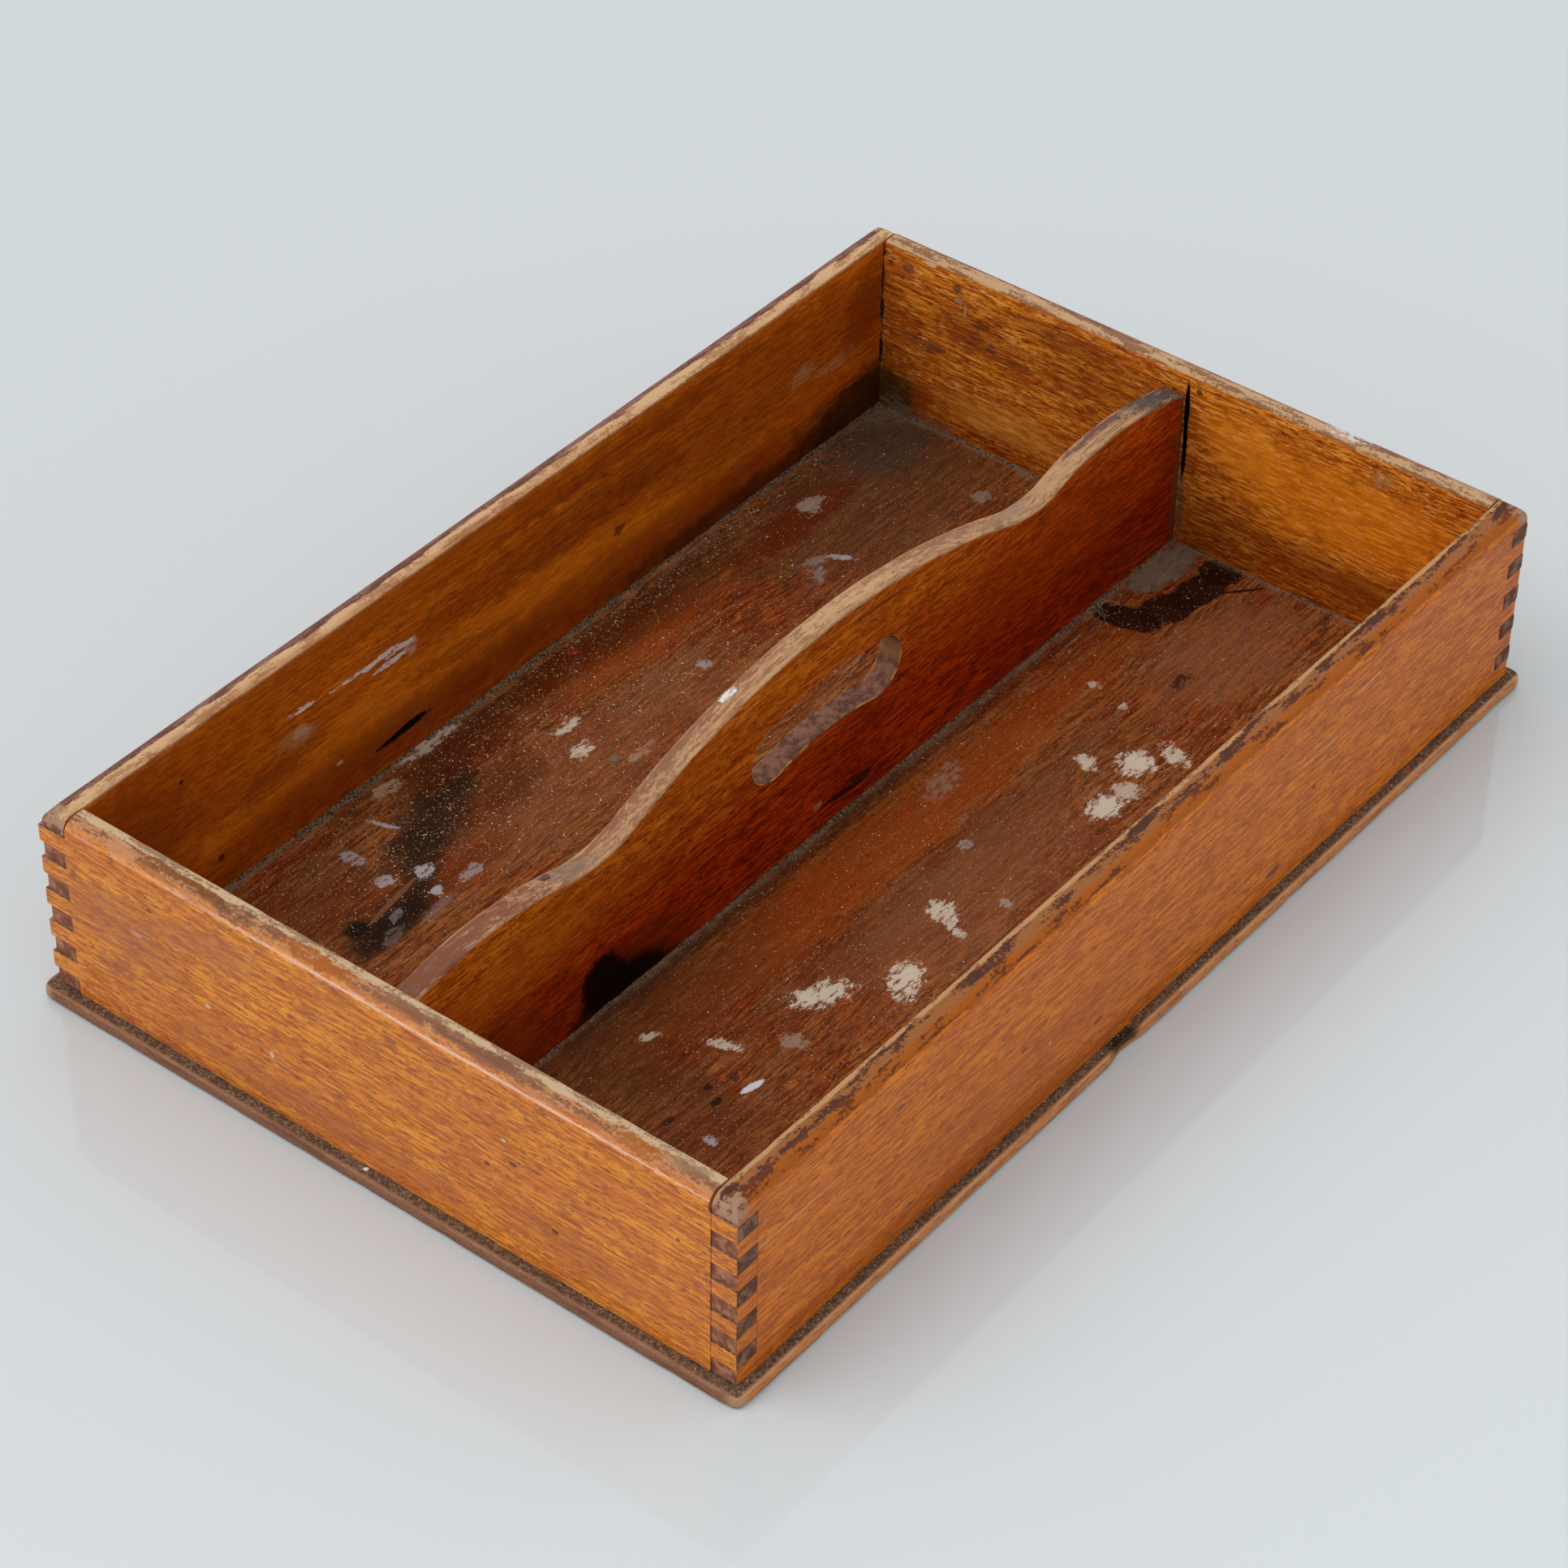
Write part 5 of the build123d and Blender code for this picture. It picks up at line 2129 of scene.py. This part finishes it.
FLOOR_STAINS = (
    *FLOOR_FACE.marks(
        SOAKED,
        (20, -24, 120, 13, RED_FLOOR, 0.65),
        (0, -48, 90, 10, (0.14, 0.04, 0.012), 0.45),
        (-104, -20, 52, 16, (0.1, 0.032, 0.012), 0.45),
        (-20, -7, 130, 3.5, (0.06, 0.02, 0.01), 0.65),
        (-130, -50, 17, 30, (0.09, 0.03, 0.01), 0.5),
        (0, -62, 64, 18, DUSTY_FLOOR, 0.45),
        (155, -56, 34, 18, DUSTY_FLOOR, 0.55),
        (38, 102, 42, 9, RED_FLOOR, 0.5),
        (138, 104, 15, 5, RED_FLOOR, 0.5),
        (20, 116, 110, 4.5, (0.05, 0.014, 0.005), 0.6),
        (-20, 75, 70, 20, DUSTY_FLOOR, 0.4),
        (-126, 88, 26, 24, (0.1, 0.035, 0.014), 0.42),
        (-50, 87, 18, 8, (0.1, 0.018, 0.001), 0.72, 10),
        (-72, 98, 30, 11, SMUDGE, 0.85, 24),
        (-62, 104, 14, 6, SMUDGE, 0.7, 10),
        (-92, 87, 17, 8, SMUDGE, 0.75, 38),
        (-120, 73, 20, 7, SMUDGE, 0.85, 8),
        (-119, 71.5, 17, 5, INK, 0.7, 8),
        (-131, 79, 4.5, 3.4, INK, 0.95),
    ),
    *FLOOR_FACE.marks(
        CLEAN,
        (-114, 79, 14, 1, (0.26, 0.11, 0.045), 0.55, 8),
        (150.6, -17, 6, 13.5, STAIN, 0.95, 12),
        (163, -25, 12, 7.5, STAIN, 0.95, -14),
        (179, -28, 15, 7, STAIN, 0.95, -6),
        (192, -28, 7, 7.6, STAIN, 0.95),
        (188, -39.5, 8, 0.7, STAIN, 0.9, -42),
        (181, -11.5, 17, 7, (0.15, 0.1, 0.065), 0.85, -3),
    ),
    *FLOOR_FACE.marks(SPLASHED, (182, -10.5, 15, 6, (0.24, 0.18, 0.13), 0.6)),
    *FLOOR_FACE.marks(
        SOAKED,
        (-44, 111, 34, 7.5, (0.09, 0.014, 0.001), 0.75),
        (22, 112, 40, 6, (0.11, 0.018, 0.001), 0.7),
        (-84, 71, 18, 6, (0.14, 0.03, 0.003), 0.6),
        (150, 88, 60, 34, (0.085, 0.034, 0.014), 0.6),
        (178, 108, 24, 18, (0.06, 0.045, 0.03), 0.6),
        (124, 102, 30, 7, (0.12, 0.014, 0.001), 0.75),
        (60, 107, 40, 6, (0.09, 0.02, 0.004), 0.6),
    ),
    *FLOOR_FACE.marks(
        CRISP,
        (-117, -51, 1.7, 1.3, INK, 0.8),
        (-109, -55, 1.4, 1.2, INK, 0.7),
        (-120.5, -57, 2.2, 1.3, INK, 0.85),
        (-136, -51, 2.4, 1.2, INK, 0.75),
    ),
    *FLOOR_FACE.marks(SPLASHED, (133.7, -51.3, 5, 2.4, INK, 0.75)),
)
FLOOR_PAINT_AND_GLINTS = (
    *FLOOR_FACE.marks(
        SPLASHED,
        (-63, -52.5, 9.5, 4.6, CREAM, 0.95, -25),
        (-67, -51, 6, 2, CREAM, 0.9, -20),
        (-42, -69, 8, 4.6, CREAM, 0.97, 20),
        (-38.5, -66, 3.6, 3.8, CREAM, 0.95, -20),
    ),
    *FLOOR_FACE.marks(CRISP, (-38, -68, 3, 2.4, CREAM, 0.85, 12)),
    *FLOOR_FACE.marks(
        SPLASHED,
        (-9, -58.5, 4, 5.6, CREAM, 0.95, -28),
        (-13, -66, 2, 5, CREAM, 0.8, -20),
        (65, -69, 7, 4.6, CREAM, 0.97, -10),
    ),
    *FLOOR_FACE.marks(CRISP, (66.5, -68.5, 3, 2.6, CREAM, 0.85)),
    *FLOOR_FACE.marks(
        SPLASHED,
        (75.5, -70, 4.4, 4.6, CREAM, 0.7),
        (89.5, -64, 6.4, 6, CREAM, 0.97, 8),
    ),
    *FLOOR_FACE.marks(CRISP, (90, -63.5, 3.4, 3.2, CREAM, 0.85, 8)),
    *FLOOR_FACE.marks(
        SPLASHED,
        (101, -71, 3.6, 6, CREAM, 0.85, -20),
        (79.5, -51.5, 2.8, 4.2, CREAM, 0.9, -20),
    ),
    *FLOOR_FACE.marks(CRISP, (-108.5, -61.3, 4.4, 1.3, PAINT, 0.95, -12)),
    *FLOOR_FACE.marks(
        SPLASHED,
        (-111.5, -23, 3.6, 1.6, CREAM, 0.8, -20),
        (-99.5, -43, 2, 5.4, CREAM, 0.8, 20),
        (-85, -58.5, 3.4, 4, (0.38, 0.27, 0.2), 0.6),
        (-134.5, -66, 1.8, 2.2, BLUE_WHITE, 0.7),
        (114, -29.5, 1.8, 2.2, CREAM, 0.7),
        (111, -44, 1.8, 1.7, CREAM, 0.7),
        (21.5, -44.5, 2.4, 2.2, (0.36, 0.28, 0.24), 0.7),
        (7, -71.5, 2, 1.8, (0.4, 0.32, 0.26), 0.7),
        (43, -20, 9, 3.8, (0.34, 0.24, 0.18), 0.55, 10),
        (-12.6, 92.4, 6, 2.2, CREAM, 0.95, 10),
        (-19.5, 80.5, 4.2, 3, CREAM, 0.9, 20),
        (-8.6, 65.2, 6, 2, (0.4, 0.26, 0.17), 0.6, 5),
        (-75, 117, 5.4, 3, (0.42, 0.28, 0.17), 0.75),
        (-47, 121.8, 12, 2.4, (0.5, 0.42, 0.33), 0.85),
        (-88.5, 106, 0.9, 5, BLUE_WHITE, 0.8, 20),
        (-97.4, 81, 3.4, 2.6, BLUE_WHITE, 0.85, 10),
        (-108.5, 87, 3, 2.6, BLUE_WHITE, 0.7),
        (-107, 103, 2.4, 4.4, BLUE_WHITE, 0.55),
        (-101.2, 71.5, 2.4, 1.8, BLUE_WHITE, 0.8),
        (-88, 69, 5, 2.2, BLUE_WHITE, 0.5),
        (41, 78.5, 2.6, 2.4, BLUE_WHITE, 0.6),
        (116, 79, 1.4, 4.2, BLUE_WHITE, 0.7, 30),
        (134, 105, 5, 4, (0.4, 0.32, 0.25), 0.7),
        (104, 79, 6, 2.2, (0.3, 0.24, 0.22), 0.5, 35),
        (108, 85, 6, 2, (0.3, 0.24, 0.22), 0.5, -20),
        (175, 62, 4, 3, (0.3, 0.22, 0.17), 0.6),
        (-106, 66, 7, 2, (0.2, 0.15, 0.13), 0.5),
        # painted glints: pale patches on the ink smear
        (-126, 68, 5, 2.4, (0.2, 0.16, 0.14), 0.4, 20),
        (-118, 74, 4, 1.6, (0.28, 0.24, 0.22), 0.45, 30),
    ),
    *FLOOR_FACE.marks(
        CRISP,
        (18.4, 116.3, 2.4, 1.6, (0.32, 0.02, 0.015), 0.75),
        (23.3, -21.2, 0.8, 0.8, (0.45, 0.01, 0.01), 0.9),
        (76.6, -16.4, 1, 1, (0.35, 0.01, 0.01), 0.9),
        (-16.2, 69.8, 1.6, 1.4, (0.1, 0.2, 0.17), 0.6),
    ),
)

NEAR_RIM = (
    RimZone(10.8, (0.56, 0.22, 0.08), (0.34, 0.12, 0.045), 0.5, 0.6, 1.0),
    RimZone(7.8, (0.46, 0.22, 0.1), (0.19, 0.075, 0.036), 0.55, 0.85, 0.8),
    RimZone(3.4, (0.55, 0.39, 0.23), (0.31, 0.18, 0.1), 0.42, 0.9, 0.5),
)
FAR_RIM = (
    RimZone(12.0, (0.34, 0.16, 0.09), (0.15, 0.06, 0.04), 0.55, 0.85, 0.8),
    RimZone(5.0, (0.5, 0.31, 0.16), (0.25, 0.12, 0.06), 0.52, 0.95, 0.4),
)
RIGHT_RIM = (
    RimZone(10.8, (0.36, 0.094, 0.012), (0.12, 0.034, 0.014), 0.4, 0.97, 0.6),
    RimZone(5.6, (0.3, 0.11, 0.035), (0.08, 0.03, 0.02), 0.5, 0.92, 0.7),
    RimZone(1.3, (0.47, 0.27, 0.125), (0.25, 0.11, 0.05), 0.4, 0.85, 0.3),
)
LEFT_RIM = (
    RimZone(14.0, (0.22, 0.105, 0.085), (0.11, 0.045, 0.036), 0.5, 0.92, 0.8),
    RimZone(4.4, (0.6, 0.37, 0.19), (0.4, 0.2, 0.09), 0.4, 0.95, 0.4),
)
BRIGHT_BEECH = Wood(
    light=(0.82, 0.29, 0.034),
    dark=(0.54, 0.145, 0.016),
    cloud=(0.56, 0.145, 0.036),
    patch=(0.37, 0.095, 0.05),
    gleam=(0.95, 0.42, 0.075),
    pore=(0.24, 0.065, 0.035),
    clouding=0.5,
    patching=0.6,
    poring=0.75,
)
AMBER_BEECH = Wood(
    light=(0.84, 0.29, 0.022),
    dark=(0.4, 0.09, 0.004),
    cloud=(0.4, 0.075, 0.005),
    patch=(0.3, 0.055, 0.008),
    gleam=(1.0, 0.5, 0.13),
    pore=(0.16, 0.03, 0.007),
    clouding=0.55,
    gleaming=0.75,
    poring=0.85,
)
RED_BEECH = Wood(
    light=(0.72, 0.2, 0.016),
    dark=(0.46, 0.1, 0.008),
    cloud=(0.5, 0.115, 0.016),
    patch=(0.38, 0.085, 0.022),
    gleam=(0.78, 0.29, 0.045),
    pore=(0.2, 0.045, 0.02),
    clouding=0.35,
    patching=0.35,
    gleaming=0.4,
    poring=0.65,
)
GOLDEN_BEECH = Wood(
    light=(0.62, 0.165, 0.005),
    dark=(0.44, 0.09, 0.002),
    cloud=(0.4, 0.065, 0.002),
    patch=(0.28, 0.04, 0.002),
    gleam=(0.68, 0.23, 0.02),
    pore=(0.17, 0.028, 0.003),
    clouding=0.4,
    patching=0.4,
    gleaming=0.35,
    poring=0.6,
)
UPPER_BEECH = Wood(
    light=(0.6, 0.16, 0.008),
    dark=(0.36, 0.075, 0.003),
    cloud=(0.36, 0.065, 0.003),
    patch=(0.24, 0.04, 0.003),
    gleam=(0.72, 0.26, 0.04),
    pore=(0.14, 0.025, 0.004),
    clouding=0.5,
)
LOWER_BEECH = Wood(
    light=(0.46, 0.043, 0.001),
    dark=(0.22, 0.013, 0.0005),
    cloud=(0.2, 0.009, 0.0005),
    patch=(0.13, 0.005, 0.0005),
    gleam=(0.52, 0.075, 0.004),
    pore=(0.07, 0.004, 0.0005),
    clouding=0.5,
)
BROWN_FLOOR_WOOD = Wood(
    light=(0.32, 0.096, 0.017),
    dark=(0.13, 0.028, 0.004),
    cloud=(0.16, 0.04, 0.008),
    patch=(0.1, 0.022, 0.005),
    gleam=(0.42, 0.17, 0.05),
    pore=(0.05, 0.012, 0.004),
    clouding=0.5,
    patching=0.4,
)
RED_FLOOR_WOOD = Wood(
    light=(0.3, 0.054, 0.004),
    dark=(0.12, 0.016, 0.0012),
    cloud=(0.15, 0.022, 0.002),
    patch=(0.09, 0.012, 0.0015),
    gleam=(0.4, 0.12, 0.02),
    pore=(0.05, 0.007, 0.002),
    clouding=0.5,
    patching=0.4,
)
BARE_BEECH = Wood(
    light=(0.42, 0.24, 0.12),
    dark=(0.28, 0.14, 0.065),
    cloud=(0.24, 0.13, 0.07),
    patch=(0.2, 0.1, 0.055),
    gleam=(0.5, 0.3, 0.15),
    pore=(0.16, 0.08, 0.05),
)
END_BOARD_GRAIN = EndGrainFinish(
    "end_board_grain", dark=(0.11, 0.045, 0.032), light=(0.28, 0.14, 0.085), worn=(0.34, 0.2, 0.14)
)
LONG_SIDE_GRAIN = EndGrainFinish(
    "long_side_grain", dark=(0.2, 0.068, 0.042), light=(0.44, 0.19, 0.105), worn=(0.42, 0.25, 0.17)
)
DIVIDER_FINISH = DividerFinish(
    name="divider_board",
    high=UPPER_BEECH,
    low=LOWER_BEECH,
    bare=(0.48, 0.27, 0.135),
    core=(0.28, 0.135, 0.07),
    arris=(0.52, 0.31, 0.16),
    grimy=(0.16, 0.09, 0.06),
    marks=DIVIDER_MARKS,
    top_marks=TOP_MARKS,
)
SLOT_FINISH = SlotFinish(
    name="slot_wall",
    wood=(0.32, 0.15, 0.055),
    dust=(0.23, 0.1, 0.07),
    dark_dust_and_shade=(0.1, 0.043, 0.03),
    raw=(0.55, 0.3, 0.1),
)
LEDGE_FINISH = LedgeFinish(
    name="ledge",
    top=(0.1, 0.048, 0.028),
    grain_dust=(0.27, 0.165, 0.095),
    front=(0.26, 0.12, 0.07),
    side=(0.55, 0.22, 0.082),
    worn=(0.55, 0.34, 0.19),
    fleck=(0.6, 0.52, 0.5),
    marks=(
        Mark((-21.0, -136.3, 4.6), (6.5, 3.0, 2.5), INK, 0.85, outline=SOAKED),
        Mark((-207.4, 5.5, 5.0), (0.8, 0.8, 0.8), (0.75, 0.72, 0.68), 0.95),
    ),
)
UNDERSIDE_FINISH = UndersideFinish("underside", BARE_BEECH, (0.16, 0.11, 0.085))
FLOOR_GRIT = GritFinish("floor_grit", (0.03, 0.018, 0.01), (0.24, 0.16, 0.095))
SEAM_DIRT = GritFinish("seam_dirt", (0.006, 0.004, 0.003), (0.06, 0.04, 0.025), 700.0)
LEDGE_DIRT = GritFinish("ledge_dirt", (0.035, 0.02, 0.014), (0.16, 0.115, 0.08))
SAWDUST = GritFinish("sawdust", (0.22, 0.13, 0.07), (0.7, 0.53, 0.34), by_grain=True)
CRUMBS = GritFinish("crumbs", (0.06, 0.035, 0.025), (0.36, 0.28, 0.2), by_grain=True)
LINT = GritFinish("lint", (0.3, 0.26, 0.2), (0.5, 0.45, 0.38))
NAIL_IRON = IronFinish("nail_iron", (0.11, 0.09, 0.08), (0.16, 0.06, 0.03))

# X, Y and spreads of the clouds of sawdust, mm; WHOLE_FLOOR is spread evenly.
WHOLE_FLOOR = (0, 0, 0, 0)
LEFT_CLOUDS = (
    (-5, 95, 36, 18),
    (-40, 92, 34, 18),
    (40, 85, 46, 26),
    (-95, 92, 24, 16),
    (70, 118, 70, 3),
    WHOLE_FLOOR,
)
RIGHT_CLOUDS = (WHOLE_FLOOR, (-20, -50, 60, 26), (60, -20, 60, 14))


def end_board_finish(name: str, marks: tuple[Mark, ...], rim: tuple[RimZone, ...]) -> BoardFinish:
    """Gives the finish of a short wall: what has happened to it and how its rim has worn are its own."""
    return BoardFinish(name, Axis.WIDTH, BRIGHT_BEECH, AMBER_BEECH, 3.0, rim, marks)


def long_side_finish(name: str, marks: tuple[Mark, ...], rim: tuple[RimZone, ...]) -> BoardFinish:
    """Gives the finish of a long wall: what has happened to it and how its rim has worn are its own."""
    return BoardFinish(name, Axis.LENGTH, RED_BEECH, GOLDEN_BEECH, 10.5, rim, marks)


def floor_finish(side: int) -> FloorFinish:
    """Gives the finish of one compartment's floor.

    Args:
        side: 1 for the left compartment, -1 for the right one.

    Returns:
        The finish, with the marks that lie in that compartment.
    """
    stains, paint = (
        tuple(mark for mark in marks if mark.centre[1] * side > 0) for marks in (FLOOR_STAINS, FLOOR_PAINT_AND_GLINTS)
    )
    name = "compartment_floor_left" if side > 0 else "compartment_floor_right"
    return FloorFinish(name, stains, paint, BROWN_FLOOR_WOOD, RED_FLOOR_WOOD)


# ---- The box ----------------------------------------------------------------------------------------------


def build_walls(layout: Layout, effects: Effects) -> None:
    """Builds the four wall boards.

    Args:
        layout: The box's planes.
        effects: The shared groups.
    """
    finishes = (
        END_BOARD_GRAIN,
        LONG_SIDE_GRAIN,
        end_board_finish("near_end_board", NEAR_MARKS, NEAR_RIM),
        end_board_finish("far_end_board", FAR_MARKS, FAR_RIM),
        long_side_finish("right_side_board", RIGHT_MARKS, RIGHT_RIM),
        long_side_finish("left_side_board", LEFT_MARKS, LEFT_RIM),
    )
    end_grain, side_grain, *woods = (finish.build(effects, layout) for finish in finishes)
    near_wood, far_wood, right_wood, left_wood = woods
    EndBoard(layout, seed=11.0, sign=-1).build("near_end", near_wood, end_grain)
    EndBoard(layout, seed=23.0, sign=1).build("far_end", far_wood, end_grain)
    LongSide(layout, seed=37.0, sign=-1, nibble=0.35 * MM).build("right_side", right_wood, side_grain)
    LongSide(layout, seed=51.0, sign=1, nibble=0.5 * MM).build("left_side", left_wood, side_grain)


def build_base_and_divider(layout: Layout, effects: Effects) -> None:
    """Builds the base board and the divider.

    Args:
        layout: The box's planes.
        effects: The shared groups.
    """
    base = (floor_finish(1), floor_finish(-1), LEDGE_FINISH, UNDERSIDE_FINISH)
    BaseBoard(layout).build(*(finish.build(effects, layout) for finish in base))
    Divider(layout).build(*(finish.build(effects, layout) for finish in (DIVIDER_FINISH, SLOT_FINISH)))


def build_dirt(layout: Layout, effects: Effects) -> None:
    """Builds all loose dirt.

    Args:
        layout: The box's planes.
        effects: The shared groups.
    """
    dirt = Dirt(layout)
    dirt.pack("grit_in_joins", dirt.inner_joins(), FLOOR_GRIT.build(effects, layout))
    dirt.pack("corner_seams", dirt.corner_joins(), SEAM_DIRT.build(effects, layout))
    dirt.pack("grit_on_ledge", dirt.ledge_joins(), LEDGE_DIRT.build(effects, layout))
    sawdust = SAWDUST.build(effects, layout)
    on_left, on_right = dirt.on_floor(1, LEFT_CLOUDS), dirt.on_floor(-1, RIGHT_CLOUDS)
    dirt.grains("sawdust_left", sawdust, 8000, on_left, sizes=(0.12, 0.42, 0.5), stretch=3.4)
    dirt.grains("sawdust_right", sawdust, 3000, on_right, sizes=(0.12, 0.38, 0.5), stretch=3.0)
    crumbs = CRUMBS.build(effects, layout)
    dirt.grains("crumbs_on_ledge", crumbs, 1500, dirt.on_ledge, sizes=(0.2, 0.65, 0.7), stretch=1.6)
    dirt.lint(LINT.build(effects, layout))


def main() -> None:
    """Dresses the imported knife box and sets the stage."""
    logging.basicConfig(level=logging.INFO, format="%(name)s: %(message)s")
    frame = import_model()
    bpy.context.scene.view_settings.view_transform = "Standard"
    layout, effects = Layout.from_frame(), Effects()
    build_walls(layout, effects)
    build_base_and_divider(layout, effects)
    iron = NAIL_IRON.build(effects, layout)
    for node in NAIL_NODES:
        nails = frame["nodes"][node].data
        nails.materials.clear()
        nails.materials.append(iron)
    build_dirt(layout, effects)
    Studio().build()
    bpy.context.view_layer.update()


if __name__ == "__main__":
    main()
